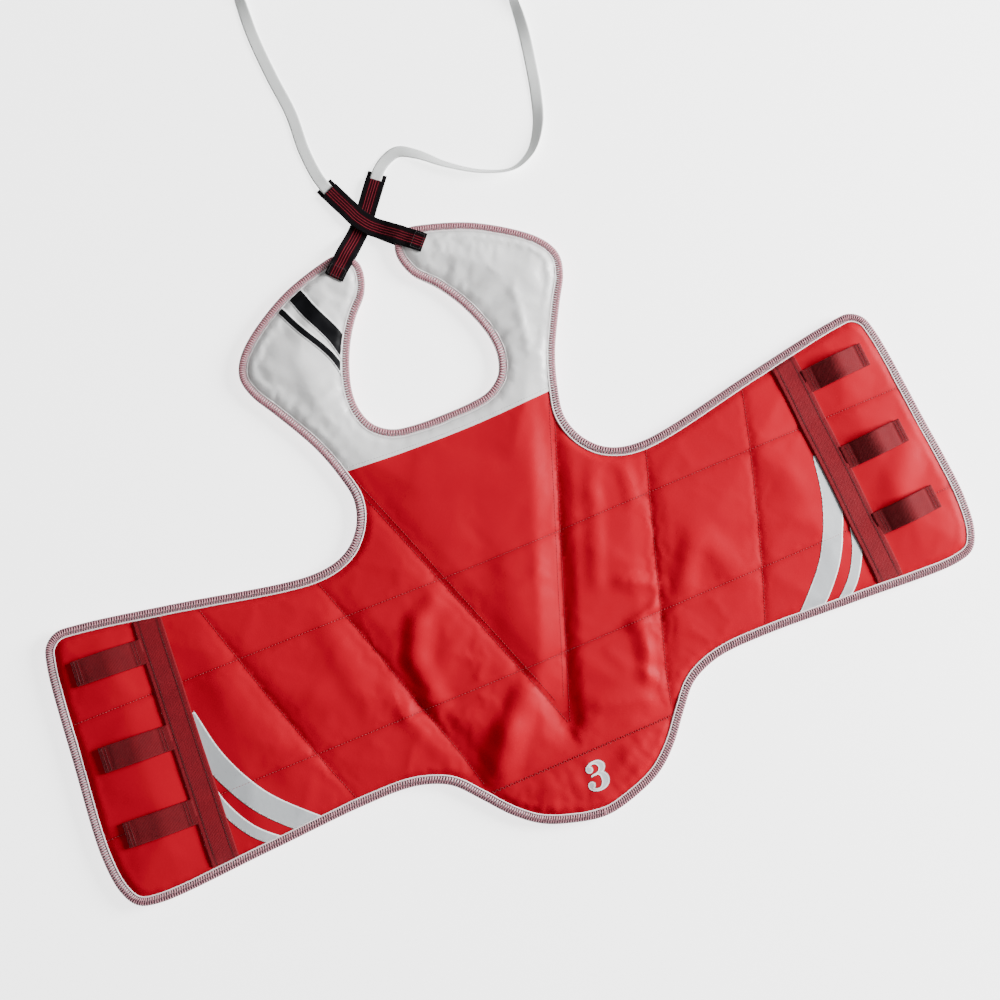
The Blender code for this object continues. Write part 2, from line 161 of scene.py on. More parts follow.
# Small gathers along the binding: their spacing, how far in they reach, and how deep they are on
# the white leather, round the lower flap, and along the waist.
PUCKER_PITCH, PUCKER_REACH = 13.0, 11.0
PUCKER_YOKE, PUCKER_FOOT, PUCKER_WAIST = 0.42, 0.45, 0.25


# ---------------------------------------------------------------- plan curves

def centripetal(points, spacing):
    """A smooth open curve through the points, sampled at about the spacing."""
    pts = np.asarray(points, float)
    pts = np.vstack([2 * pts[0] - pts[1], pts, 2 * pts[-1] - pts[-2]])
    out = []
    for p0, p1, p2, p3 in zip(pts, pts[1:], pts[2:], pts[3:]):
        steps = max(1, int(round(np.linalg.norm(p2 - p1) / spacing)))
        k = [0.0]
        for a, b in ((p0, p1), (p1, p2), (p2, p3)):
            k.append(k[-1] + math.sqrt(max(np.linalg.norm(b - a), 1e-9)))
        for i in range(steps):
            t = k[1] + (k[2] - k[1]) * i / steps
            a1 = p0 + (p1 - p0) * (t - k[0]) / (k[1] - k[0])
            a2 = p1 + (p2 - p1) * (t - k[1]) / (k[2] - k[1])
            a3 = p2 + (p3 - p2) * (t - k[2]) / (k[3] - k[2])
            b1 = a1 + (a2 - a1) * (t - k[0]) / (k[2] - k[0])
            b2 = a2 + (a3 - a2) * (t - k[1]) / (k[3] - k[1])
            out.append(b1 + (b2 - b1) * (t - k[1]) / (k[2] - k[1]))
    out.append(pts[-2])
    return np.array(out)


def unit(vectors):
    return vectors / np.linalg.norm(vectors, axis=-1, keepdims=True)


def lengths_along(line):
    return np.concatenate([[0], np.cumsum(np.linalg.norm(np.diff(line, axis=0), axis=1))])


def resampled(line, spacing, closed=False):
    """The same polyline with points at even steps of arc length."""
    line = np.asarray(line, float)
    if closed:
        line = np.vstack([line, line[:1]])
    lengths = lengths_along(line)
    count = max(2, int(round(lengths[-1] / spacing)) + 1)
    at = np.linspace(0, lengths[-1], count)
    even = np.stack([np.interp(at, lengths, column) for column in line.T], 1)
    return even[:-1] if closed else even


def on_side(line, sign):
    """A line of the right side as it runs on the side with that sign."""
    return [(sign * x, y) for x, y in line]


def outline_curve(spacing):
    """The whole edge, counterclockwise, as even points."""
    fine = centripetal([(-39, -329), *HALF_OUTLINE, (-31, 94)], 1.0)
    start, end = (int(np.linalg.norm(fine - p, axis=1).argmin()) for p in ((0, -337), (0, 93)))
    half = fine[start:end + 1]
    return resampled(np.vstack([half, half[1:-1][::-1] * [-1, 1]]), spacing, closed=True)


def inward_normals(loop):
    along = unit(np.roll(loop, -1, 0) - np.roll(loop, 1, 0))
    return np.stack([-along[:, 1], along[:, 0]], 1)


def distance_to(points, line, closed=False):
    """The distance from each point to a polyline."""
    line = np.asarray(line, float)
    if closed:
        line = np.vstack([line, line[:1]])
    start, step = line[:-1], np.diff(line, axis=0)
    size = (step * step).sum(1)
    best = np.empty(len(points))
    for i in range(0, len(points), 4000):
        rel = points[i:i + 4000, None] - start
        t = np.clip((rel * step).sum(2) / size, 0, 1)
        best[i:i + 4000] = np.sqrt(((rel - t[..., None] * step) ** 2).sum(2).min(1))
    return best


def inside(points, loop):
    """Which points lie in the closed loop."""
    x, y = points[:, 0], points[:, 1]
    result = np.zeros(len(points), bool)
    for (x0, y0), (x1, y1) in zip(loop, np.roll(loop, -1, 0)):
        if y0 != y1:
            result ^= ((y0 > y) != (y1 > y)) & (x < x0 + (y - y0) * (x1 - x0) / (y1 - y0))
    return result


def fold_line_x(y):
    """Where the back fold runs: just inside the webbing strip, and leaning with it."""
    return STRIP_TOP[0] - 1.0 + (STRIP_TOP[1] - y) * math.tan(STRIP_LEAN)


def strip_ways(sign):
    """A strip's own directions in the plan, down its length and outwards across it, and its inner
    top corner."""
    along = np.array([sign * math.sin(STRIP_LEAN), -math.cos(STRIP_LEAN)])
    out = np.array([sign * math.cos(STRIP_LEAN), math.sin(STRIP_LEAN)])
    return along, out, np.array([sign * STRIP_TOP[0], STRIP_TOP[1]])


def yoke_y(x):
    """The lower edge of the white yoke, which sags a little in the middle."""
    return YOKE_END_Y - YOKE_SAG * (1 - (x / YOKE_HALF) ** 2)


def smooth(value, low, high):
    t = np.clip((value - low) / (high - low), 0, 1)
    return t * t * (3 - 2 * t)


EDGE_STEP = GAP_STEP = 2.5
EDGE = outline_curve(EDGE_STEP)
EDGE_FINE = outline_curve(1.4)


def gap_grid():
    """Signed distances from the edge on an even grid, positive on the vest."""
    low, high = EDGE.min(0) - 20, EDGE.max(0) + 20
    xs, ys = (np.arange(low[k], high[k], GAP_STEP) for k in (0, 1))
    spots = np.stack(np.meshgrid(xs, ys), -1).reshape(-1, 2)
    gaps = np.where(inside(spots, EDGE), 1, -1) * distance_to(spots, EDGE, closed=True)
    return low, gaps.reshape(len(ys), len(xs))


GAP_LOW, GAPS = gap_grid()


def edge_gap(xy):
    """How far inside the edge each plan point is; negative outside it."""
    at = (np.asarray(xy, float) - GAP_LOW) / GAP_STEP
    rows, columns = GAPS.shape
    i = np.clip(at[:, 1].astype(int), 0, rows - 2)
    j = np.clip(at[:, 0].astype(int), 0, columns - 2)
    v, u = np.clip(at[:, 1] - i, 0, 1), np.clip(at[:, 0] - j, 0, 1)
    low = GAPS[i, j] * (1 - u) + GAPS[i, j + 1] * u
    high = GAPS[i + 1, j] * (1 - u) + GAPS[i + 1, j + 1] * u
    return low * (1 - v) + high * v


QUILT = {"flap": centripetal(FLAP_SEAM, 3.0)}
for name, sign in SIDES:
    QUILT[f"v_{name}"] = centripetal(on_side(V_ARM, sign), 3.0)
    for i, fan in enumerate(FANS):
        QUILT[f"fan_{name}_{i}"] = centripetal(on_side(fan, sign), 3.0)
for i, row in enumerate(ACROSS):
    QUILT[f"across_{i}"] = centripetal(row, 3.0)
YOKE_LINE = np.array([(x, yoke_y(x)) for x in np.linspace(-122, 122, 62)])


# ---------------------------------------------------------------- bodies and regions

def region_of(x, y):
    """The stretch of the vest, between folds, that a plan point belongs to."""
    side = "right" if x > 0 else "left"
    if y > SHOULDER_FOLD_Y:
        return f"shoulder_{side}"
    if abs(x) > WING_SPLIT_X:
        return f"outer_{side}"
    if abs(x) > SIDE_FOLD_X:
        return f"root_{side}"
    return "lower_flap" if y < FLAP_FOLD_Y else "torso"


def world(x, y, z=0.0):
    return Vector((x * MM, (y - DATUM_Y) * MM, z * MM))


def body_name(region):
    """The body that a region's own CAD nodes are named after."""
    return region.replace("root", "wing").replace("outer", "flap")


def mount(obj, region):
    """Attaches a torso piece to the torso body; any other piece only has its transform applied to its
    mesh.
    """
    if region == "torso":
        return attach(obj, "torso")
    kind, _, side = region.partition("_")
    sign = 1 if side == "right" else -1
    x = fold_line_x(0)
    lean = np.array([math.cos(STRIP_LEAN), math.sin(STRIP_LEAN)]) * BACK_TURN
    parent, start, end = {
        "lower": ("torso", (0, FLAP_FOLD_Y), (0, FLAP_FOLD_Y - FLAP_TURN)),
        "shoulder": ("torso", (0, SHOULDER_FOLD_Y), (0, SHOULDER_FOLD_Y + SHOULDER_TURN)),
        "root": ("torso", (sign * SIDE_FOLD_X, 0), (sign * (SIDE_FOLD_X + SIDE_TURN), 0)),
        "outer": (f"wing_{side}", (sign * x, 0), (sign * (x + lean[0]), lean[1])),
    }[kind]
    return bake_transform(obj, parent, body_name(region), world(*start), world(*end))


# ---------------------------------------------------------------- mesh making

class Shape:
    """Points in plan millimetres, faces, and named values for each point."""

    def __init__(self, points, faces, values=None, normals=None):
        self.points = np.asarray(points, float).reshape(-1, 3)
        self.faces = np.asarray(faces, int)
        self.values = {k: np.asarray(v, float) for k, v in (values or {}).items()}
        self.normals = normals

    def part(self, chosen):
        """The chosen faces as a shape of their own, with the whole shape's normals."""
        faces = self.faces[chosen]
        used, index = np.unique(faces, return_inverse=True)
        values = {k: v[used] for k, v in self.values.items()}
        normals = None if self.normals is None else self.normals[used]
        return Shape(self.points[used], index.reshape(faces.shape), values, normals)

    def centres(self):
        return self.points[self.faces].mean(1)

    def tree(self):
        return BVHTree.FromPolygons(self.points.tolist(), self.faces.tolist())


def joined(shapes):
    """Several shapes with the same face size and the same named values, as one."""
    shapes = [s for s in shapes if len(s.points)]
    starts = np.cumsum([0] + [len(s.points) for s in shapes])
    return Shape(
        np.vstack([s.points for s in shapes]),
        np.vstack([s.faces + start for s, start in zip(shapes, starts)]),
        {k: np.concatenate([s.values[k] for s in shapes]) for k in shapes[0].values},
    )


def linked(name, data):
    """A new object in the scene."""
    obj = bpy.data.objects.new(name, data)
    bpy.context.scene.collection.objects.link(obj)
    return obj


def to_mesh(name, shape):
    mesh = bpy.data.meshes.new(name)
    metres = (shape.points - [0, DATUM_Y, 0]) * MM
    mesh.from_pydata(metres.tolist(), [], shape.faces.tolist())
    for key, value in shape.values.items():
        mesh.attributes.new(key, "FLOAT", "POINT").data.foreach_set("value", value)
    mesh.shade_smooth()
    return mesh


def piece(name, shape, finish, slot):
    """A visible object. Its textures hold on to the places that its points have at rest."""
    mesh = to_mesh(name, shape)
    rest = mesh.attributes.new("rest", "FLOAT_VECTOR", "POINT")
    rest.data.foreach_set("vector", ((shape.points - [0, DATUM_Y, 0]) * MM).ravel())
    if shape.normals is not None:
        mesh.normals_split_custom_set_from_vertices(shape.normals.tolist())
    mesh.materials.append(finish)
    return linked(name, mesh)


def fitted(name, shape, finish, slot, region, *nodes):
    """A piece for its region, which hides the CAD nodes that it is seen instead of."""
    obj = piece(name, shape, finish, slot)
    if nodes:
        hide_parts(*nodes)
    return mount(obj, region)


def refined(shape, creases=None, levels=1):
    """The shape after subdivision, with smooth normals. creases holds point pairs and sharpness."""
    mesh = to_mesh("refining", shape)
    if creases:
        crease = mesh.attributes.new("crease_edge", "FLOAT", "EDGE")
        pairs = np.empty(len(mesh.edges) * 2, int)
        mesh.edges.foreach_get("vertices", pairs)
        sharp = [creases.get((min(p), max(p)), 0.0) for p in pairs.reshape(-1, 2).tolist()]
        crease.data.foreach_set("value", sharp)
    if levels:
        obj = linked("refining", mesh)
        mod = obj.modifiers.new("refine", "SUBSURF")
        mod.levels = mod.render_levels = levels
        deps = bpy.context.evaluated_depsgraph_get()
        result = read_back(obj.evaluated_get(deps).to_mesh(), list(shape.values))
        bpy.data.objects.remove(obj)
    else:
        result = read_back(mesh, list(shape.values))
    bpy.data.meshes.remove(mesh)
    return result


def read_back(mesh, keys):
    """A mesh as a shape."""
    count = len(mesh.vertices)
    points, normals = np.empty(count * 3), np.empty(count * 3)
    mesh.vertices.foreach_get("co", points)
    mesh.vertices.foreach_get("normal", normals)
    corners = np.empty(len(mesh.loops), int)
    mesh.loops.foreach_get("vertex_index", corners)
    values = {}
    for key in keys:
        values[key] = np.empty(count)
        mesh.attributes[key].data.foreach_get("value", values[key])
    points = points.reshape(-1, 3) / MM + [0, DATUM_Y, 0]
    faces = corners.reshape(len(mesh.polygons), -1)
    return Shape(points, faces, values, normals.reshape(-1, 3))


def rim_edges(faces):
    """The directed edges that only one face has."""
    around = np.stack([faces, np.roll(faces, -1, 1)], -1).reshape(-1, 2)
    _, first, counts = np.unique(
        np.sort(around, axis=1), axis=0, return_index=True, return_counts=True
    )
    return around[first[counts == 1]]


def wall_quads(rim, lower):
    """Quads down from rim edges, where lower gives the point below each rim point."""
    return np.stack([rim[:, 1], rim[:, 0], lower[rim[:, 0]], lower[rim[:, 1]]], 1)


def points_below(shape_size, rim):
    """The rim's points, and an index from every point to the new one below it."""
    used = np.unique(rim)
    lower = np.zeros(shape_size, int)
    lower[used] = shape_size + np.arange(len(used))
    return used, lower


def split_by_region(shape):
    centres = shape.centres()
    regions = np.array([region_of(x, y) for x, y in centres[:, :2]])
    return {r: shape.part(regions == r) for r in np.unique(regions)}


def sweep(origins, across, up, section, marks, widths, closed=False, looped=False):
    """Quads from moving a section of (across, up) points along a path, with marks as the values
    along it and widths as those across it. A closed section gets end caps, and a looped path joins
    up with its start."""
    origins, across, up = (np.asarray(v, float) for v in (origins, across, up))
    section = np.asarray(section, float)
    rows, count = len(origins), len(section)
    points = origins[:, None] + across[:, None] * section[:, :1] + up[:, None] * section[:, 1:2]
    i, j = np.meshgrid(
        np.arange(rows if looped else rows - 1), np.arange(count if closed else count - 1),
        indexing="ij",
    )
    k, n = (j + 1) % count, (i + 1) % rows
    corners = [i * count + j, i * count + k, n * count + k, n * count + j]
    faces = [np.stack(corners, -1).reshape(-1, 4)]
    if closed and not looped:
        k = np.arange(count // 2 - 1)
        cap = np.stack([k, k + 1, count - 2 - k, count - 1 - k], -1)
        faces += [cap[:, ::-1], cap + (rows - 1) * count]
    values = {"along": np.repeat(marks, count), "across": np.tile(widths, rows)}
    return Shape(points.reshape(-1, 3), np.vstack(faces), values)


def tubes(paths, radius, tones=None):
    """Many short closed threads: paths is an array of (threads, stations, 3)."""
    paths = np.asarray(paths, float)
    threads, stations, _ = paths.shape
    along = np.gradient(paths, axis=1)
    along /= np.linalg.norm(along, axis=2)[..., None] + 1e-9
    across = np.cross(along, [0.0, 0.0, 1.0])
    across /= np.linalg.norm(across, axis=2)[..., None] + 1e-9
    up = np.cross(across, along)
    girth = np.full(stations, radius)
    girth[[0, -1]] *= 0.5
    ring = [across, up, -across, -up]
    points = np.stack([paths + girth[:, None] * way for way in ring], 2)
    base = (np.arange(threads) * stations * 4)[:, None]
    quads = []
    for station in range(stations - 1):
        for j in range(4):
            k, row = (j + 1) % 4, station * 4
            quads.append([row + j, row + 4 + j, row + 4 + k, row + k])
    quads += [[0, 1, 2, 3], [stations * 4 - 4 + j for j in (3, 2, 1, 0)]]
    faces = (base[..., None] + np.array(quads)[None]).reshape(-1, 4)
    tones = np.zeros(threads) if tones is None else np.asarray(tones, float)
    return Shape(points.reshape(-1, 3), faces, {"tone": np.repeat(tones, stations * 4)})


# ---------------------------------------------------------------- materials

class Finish:
    """A Principled material with short ways to add nodes to it."""

    def __init__(self, name, roughness, specular=0.5, **sockets):
        self.material = bpy.data.materials.new(name)
        self.material.use_nodes = True
        self.tree = self.material.node_tree
        self.shader = self.tree.nodes["Principled BSDF"]
        self.set("Roughness", roughness)
        self.set("Specular IOR Level", specular)
        for key, value in sockets.items():
            self.set(key.replace("_", " "), value)

    def set(self, key, value):
        if isinstance(value, bpy.types.NodeSocket):
            self.tree.links.new(value, self.shader.inputs[key])
        else:
            self.shader.inputs[key].default_value = value

    def node(self, kind, inputs=(), output=0, **settings):
        node = self.tree.nodes.new(f"ShaderNode{kind}")
        for key, value in settings.items():
            setattr(node, key, value)
        for key, value in dict(inputs).items():
            if isinstance(value, bpy.types.NodeSocket):
                self.tree.links.new(value, node.inputs[key])
            else:
                node.inputs[key].default_value = value
        return node.outputs[output]

    def rest(self):
        return self.node("Attribute", output="Vector", attribute_name="rest")

    def value(self, name):
        return self.node("Attribute", output="Fac", attribute_name=name)

    def math(self, operation, a, b=0.0, c=0.0):
        return self.node("Math", {0: a, 1: b, 2: c}, operation=operation)

    def noise(self, scale, detail=2.0, vector=None, rough=0.5):
        vector = vector or self.rest()
        inputs = {"Vector": vector, "Scale": scale, "Detail": detail, "Roughness": rough}
        return self.node("TexNoise", inputs, "Fac")

    def span(self, value, low, high, to_low=0.0, to_high=1.0):
        inputs = {"Value": value, 1: low, 2: high, 3: to_low, 4: to_high}
        return self.node("MapRange", inputs, "Result")

    def mix(self, factor, a, b):
        a, b = ((*c, 1) if isinstance(c, tuple) else c for c in (a, b))
        return self.node("Mix", {0: factor, 6: a, 7: b}, 2, data_type="RGBA")

    def bump(self, height, strength, distance, normal=None):
        inputs = {"Height": height, "Strength": strength, "Distance": distance}
        if normal is not None:
            inputs["Normal"] = normal
        return self.node("Bump", inputs, "Normal")


def leatherette(name, colour, worn, *, roughness=0.42, grain=0.35, specular=0.22, creased=0.18):
    """Coated fabric: fine pebbled grain, faint creases, and darker seams, partly grime and partly
    painted shade in the grooves.
    """
    f = Finish(name, roughness, specular=specular)
    cloudy = f.noise(9.0, 4.0)
    # Painted shade: darker within about a millimetre of each seam and of the binding's inner edge, in
    # place of the shadow line there.
    near = f.span(f.value("gap"), 0.4, 1.5, 0.26, 0.0)
    seam = f.math("ADD", near, f.span(f.value("gap"), 0.8, 5.0, 0.10, 0.0))
    tint = f.mix(f.span(cloudy, 0.35, 0.7), tuple(0.93 * c for c in colour), colour)
    tint = f.mix(f.span(f.noise(260.0, 3.0), 0.5, 0.8, 0.0, 0.10), tint, worn)
    # The seams darken towards their lines: part grime, part painted shade where the grooves would be
    # shaded.
    tint = f.mix(seam, tint, tuple(0.30 * c for c in colour))
    f.set("Base Color", tint)
    f.set("Roughness", f.span(f.noise(60.0, 4.0), 0.3, 0.75, roughness - 0.06, roughness + 0.08))
    cells = f.node(
        "TexVoronoi", {"Vector": f.rest(), "Scale": 950.0}, "Distance", feature="SMOOTH_F1"
    )
    creases = f.noise(120.0, 5.0, rough=0.6)
    normal = f.bump(cells, grain, 0.00012)
    normal = f.bump(creases, creased, 0.0005, normal)
    normal = f.bump(f.noise(22.0, 2.0), 0.16, 0.0022, normal)
    f.set("Normal", normal)
    return f.material


def webbing(name, light, dark, slant=1.0, sewn=30.0):
    """Woven strap: slanting ribs of yarn, darker between the ribs and along the sewn lines, which
    lie at that distance from its middle."""
    f = Finish(name, 0.70, specular=0.20)
    along, across = f.value("along"), f.value("across")
    phase = f.math("ADD", f.math("MULTIPLY", along, 3.9), f.math("MULTIPLY", across, 3.9 * slant))
    rib = f.math("SINE", phase)
    yarn = f.math("SINE", f.math("MULTIPLY", across, 7.4))
    weave = f.math("ADD", f.math("MULTIPLY", rib, 0.35), f.math("MULTIPLY", yarn, 0.15))
    weave = f.math("ADD", weave, 0.5)
    tint = f.mix(weave, dark, light)
    tint = f.mix(f.span(f.noise(70.0, 3.0), 0.35, 0.75, 0.0, 0.35), tint, dark)
    off = f.math("ABSOLUTE", f.math("SUBTRACT", f.math("ABSOLUTE", across), sewn))
    tint = f.mix(f.span(off, 0.5, 1.7, 0.55, 0.0), tint, tuple(0.35 * c for c in dark))
    f.set("Base Color", tint)
    normal = f.bump(weave, 0.9, 0.0005)
    f.set("Normal", f.bump(f.noise(900.0, 2.0), 0.3, 0.0002, normal))
    return f.material


def striped_elastic(name):
    """Black-edged elastic with a maroon middle and four pink lines, ribbed across."""
    f = Finish(name, 0.85, specular=0.06)
    across, along = f.value("across"), f.value("along")
    off = f.math("ABSOLUTE", across)
    middle = f.span(off, 5.3, 5.7, 1.0, 0.0)
    tint = f.mix(middle, (0.005, 0.004, 0.005), (0.020, 0.0010, 0.003))
    for place in (1.3, 3.9):
        line = f.span(f.math("ABSOLUTE", f.math("SUBTRACT", off, place)), 0.12, 0.36, 1.0, 0.0)
        tint = f.mix(line, tint, (0.30, 0.025, 0.042))
    rib = f.math("SINE", f.math("MULTIPLY", along, 5.2))
    cord = f.math("SINE", f.math("MULTIPLY", across, 6.0))
    height = f.math("ADD", f.math("MULTIPLY", rib, 0.5), f.math("MULTIPLY", cord, 0.5))
    tint = f.mix(f.span(rib, -1.0, 0.2, 0.35, 0.0), tint, (0.005, 0.003, 0.004))
    f.set("Base Color", tint)
    f.set("Normal", f.bump(height, 0.8, 0.0003))
    return f.material


TAPE_RIBS = 4.2  # of the weave's waves, in radians for each millimetre


def woven_tape(name, colour, shade):
    """Narrow cotton tape: a plain weave with a little soiling."""
    f = Finish(name, 0.78, specular=0.25, Sheen_Weight=0.2, Sheen_Roughness=0.5)
    along, across = f.value("along"), f.value("across")
    weft = f.math("SINE", f.math("MULTIPLY", along, TAPE_RIBS))
    warp = f.math("SINE", f.math("MULTIPLY", across, TAPE_RIBS * 1.4))
    weave = f.math("MULTIPLY_ADD", f.math("MULTIPLY", weft, warp), 0.5, 0.5)
    tint = f.mix(weave, shade, colour)
    tint = f.mix(f.span(f.noise(45.0, 4.0), 0.45, 0.8, 0.0, 0.4), tint, shade)
    f.set("Base Color", tint)
    f.set("Normal", f.bump(weave, 0.6, 0.0003))
    return f.material


def thread(name, light, dark):
    """Sewing thread, which goes from light to dark with each stitch's own tone."""
    f = Finish(name, 0.55, specular=0.4, Sheen_Weight=0.2)
    tint = f.mix(f.value("tone"), light, dark)
    tint = f.mix(f.span(f.noise(500.0, 2.0), 0.4, 0.7, 0.0, 0.3), tint, tuple(0.5 * c for c in dark))
    f.set("Base Color", tint)
    f.set("Normal", f.bump(f.noise(1800.0, 1.0), 0.5, 0.0002))
    return f.material


def printed(name, fill, rim, outer=None, specular=0.4):
    """A printed film: its middle, its rim, and an optional darker line outside that."""
    f = Finish(name, 0.42, specular=specular)
    ink = f.value("ink")
    tint = f.mix(f.span(ink, -0.12, 0.12), fill, rim)
    if outer:
        tint = f.mix(f.span(ink, 1.05, 1.3), tint, outer)
    crazed = f.span(f.noise(420.0, 4.0), 0.62, 0.75, 0.0, 0.28)
    tint = f.mix(crazed, tint, tuple(0.6 * c for c in fill))
    f.set("Base Color", tint)
    f.set("Normal", f.bump(f.noise(240.0, 4.0), 0.3, 0.0004))
    return f.material


def foam(name, colour):
    f = Finish(name, 0.95, specular=0.2)
    cells = f.node("TexVoronoi", {"Vector": f.rest(), "Scale": 600.0}, "Distance")
    f.set("Base Color", f.mix(f.span(cells, 0.0, 0.6), tuple(0.7 * c for c in colour), colour))
    f.set("Normal", f.bump(cells, 0.8, 0.0006))
    return f.material


RED = leatherette(
    "red_leatherette", (0.440, 0.0003, 0.0140), (0.49, 0.004, 0.019),
    roughness=0.46, grain=0.3, specular=0.05, creased=0.12,
)
BLUE = leatherette("blue_leatherette", (0.010, 0.040, 0.30), (0.05, 0.10, 0.42))
WHITE = leatherette(
    "white_leatherette", (0.86, 0.855, 0.85), (0.75, 0.745, 0.735),
    roughness=0.27, grain=0.2, specular=0.4, creased=0.28,
)
FOAM = foam("foam_core", (0.66, 0.64, 0.56))
BINDING = woven_tape("binding_tape", (0.97, 0.93, 0.93), (0.88, 0.76, 0.77))
OVERLOCK = thread("overlock_thread", (0.84, 0.36, 0.42), (0.055, 0.004, 0.018))
STRAP = webbing("strap_webbing", (0.29, 0.004, 0.013), (0.11, 0.0015, 0.006), sewn=8.8)
LOOP = webbing("loop_webbing", (0.22, 0.003, 0.009), (0.075, 0.001, 0.004), -1.0)
STRIP_THREAD = thread("strap_thread", (0.09, 0.0015, 0.005), (0.06, 0.0015, 0.004))
ELASTIC_THREAD = thread("elastic_thread", (0.02, 0.012, 0.014), (0.012, 0.010, 0.010))
ELASTIC = striped_elastic("neck_elastic")
TAPE = woven_tape("tie_tape", (0.80, 0.815, 0.80), (0.60, 0.62, 0.61))
RED_THREAD = thread("red_thread", (0.33, 0.003, 0.012), (0.24, 0.003, 0.010))
WHITE_THREAD = thread("white_thread", (0.72, 0.71, 0.70), (0.55, 0.54, 0.53))
BLUE_THREAD = thread("blue_thread", (0.03, 0.06, 0.30), (0.02, 0.04, 0.20))
GREY_PRINT = printed("grey_print", (0.50, 0.52, 0.54), (0.86, 0.86, 0.85), (0.16, 0.020, 0.035))
BLACK_PRINT = printed("black_print", (0.005, 0.005, 0.006), (0.80, 0.80, 0.80), specular=0.08)


# ---------------------------------------------------------------- camera and ties

FOCAL, FRAME_WIDTH = 54.0, 36.0
CAMERA_DISTANCE = 1500.0
CAMERA_TILT, CAMERA_TURN, CAMERA_ROLL = -5.911, 4.465, 22.530
CAMERA_SHIFT = -22.3
FRONT_PLANE = 11.0  # the camera's distance is counted from this height of the front


def make_camera():
    """Nearly overhead, a little tipped, and rolled about its line of sight."""
    turn = (
        Matrix.Rotation(math.radians(CAMERA_TILT), 3, "X")
        @ Matrix.Rotation(math.radians(CAMERA_TURN), 3, "Y")
        @ Matrix.Rotation(math.radians(CAMERA_ROLL), 3, "Z")
    ).transposed()
    place = turn @ Vector((-CAMERA_SHIFT, 0.0, CAMERA_DISTANCE))
    data = bpy.data.cameras.new("camera")
    data.lens = FOCAL
    data.sensor_width = FRAME_WIDTH
    data.clip_start = 0.01
    camera = linked("camera", data)
    camera.matrix_world = Matrix.Translation(
        world(place.x, place.y, place.z + FRONT_PLANE)
    ) @ turn.to_4x4()
    bpy.context.scene.camera = camera


TAPE_WIDTH, TAPE_THICK = 12.0, 1.0
COIL_RADIUS, COIL_PITCH, COIL_MIDDLE = 66.0, 5.0, 6.6
BAND_ANGLE, BAND_WIDTH, BAND_THICK = 0.6, 9.0, 0.5
BAND_LOW, BAND_HIGH, BAND_IN, BAND_OUT = 0.7, 13.3, 14.5, 1.6  # where it goes round the coil
COIL_CENTRES = {"left": (38.0, 635.0), "right": (301.0, 530.0)}
TIE_LENGTH = 1200.0
# x, y, the height of the tape's middle, and its turn on edge.
TAPE_ROUTES = {
    "left": [
        (-18, 347, 2.4, 0), (-22, 358, 2.2, 0), (-25, 372, 0.8, 0), (-27, 400, 0.8, 0),
        (-25, 440, 0.8, 0), (-29, 485, 0.8, 0), (-31, 530, 0.8, 0), (-29, 575, 3.0, 30),
        (-28, 605, 6.5, 90),
    ],
    "right": [
        (27, 341, 2.4, 0), (34, 350, 2.2, 0), (45, 359, 0.8, 0), (60, 364, 0.9, 0),
        (78, 355, 2.0, 20), (104, 332, 4.2, 45), (134, 313, 5.0, 55), (165, 304, 5.2, 60),
        (188, 313, 4.6, 50), (207, 337, 3.2, 30), (219, 370, 1.4, 8), (227, 405, 0.8, 0),
        (233, 440, 2.0, 20), (235, 470, 4.5, 50), (235, 500, 6.5, 90),
    ],
}


def tie_path(side):
    """The whole tie: its free stretch, and the clockwise coil that holds the rest of its length."""
    cx, cy = COIL_CENTRES[side]
    route = TAPE_ROUTES[side] + [(cx - COIL_RADIUS, cy, COIL_MIDDLE, 90)]
    free = resampled(centripetal(route, 2.0), 2.5)
    left = TIE_LENGTH - lengths_along(free[:, :3])[-1]
    turns = np.linspace(0, left / COIL_RADIUS * 1.2, 900)
    radius = COIL_RADIUS - COIL_PITCH * smooth(turns, 0, 1.2) * turns / (2 * math.pi)
    coil = np.stack([
        cx - radius * np.cos(turns), cy + radius * np.sin(turns),
        np.full(900, COIL_MIDDLE), np.full(900, 90.0),
    ], 1)
    wound = lengths_along(coil[:, :3])
    coil = resampled(coil[wound <= left], 2.5)
    return np.vstack([free, coil[1:]])


def flat_section(width, thick, across=9, ribs=0.0):
    """A flat strap's cross-section as a closed ring, a little thicker along both edges."""
    u = np.linspace(-1, 1, across)
    half = thick / 2 * (1 - 0.45 * np.abs(u) ** 12) + ribs * np.exp(-((np.abs(u) - 0.90) / 0.05) ** 2)
    top = np.stack([u * width / 2, half], 1)
    return np.vstack([top[::-1], top * [1, -1]])


def strap(path, section, turns=0.0, level=None):
    """A swept strap with its along and across values. turns tips its width out of the level, and
    level is the way across it, where the path itself doesn't say."""
    along = unit(np.gradient(path, axis=0))
    level = np.cross(along, [0.0, 0.0, 1.0]) if level is None else np.tile(level, (len(path), 1))
    level = unit(level)
    tip = np.radians(np.full(len(path), turns))[:, None]
    across = level * np.cos(tip) + np.cross(level, along) * np.sin(tip)
    up = np.cross(across, along)
    return sweep(path, across, up, section, lengths_along(path), section[:, 0], closed=True)


def make_tie(side):
    path = tie_path(side)
    shape = strap(path[:, :3], flat_section(TAPE_WIDTH, TAPE_THICK), path[:, 3])
    tie = piece(f"tie_{side}", shape, TAPE, "tie_tape")
    start, end = path[0], TAPE_ROUTES[side][-2]
    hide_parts(f"neck_tie_{side}", f"tie_coil_{side}")
    world(*start[:2])
    world(*end[:2])
    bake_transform(tie)
    places = (path[:, :3] - [0, DATUM_Y, 0]) * MM
    band = coil_band(side)
    tuple(places[0])


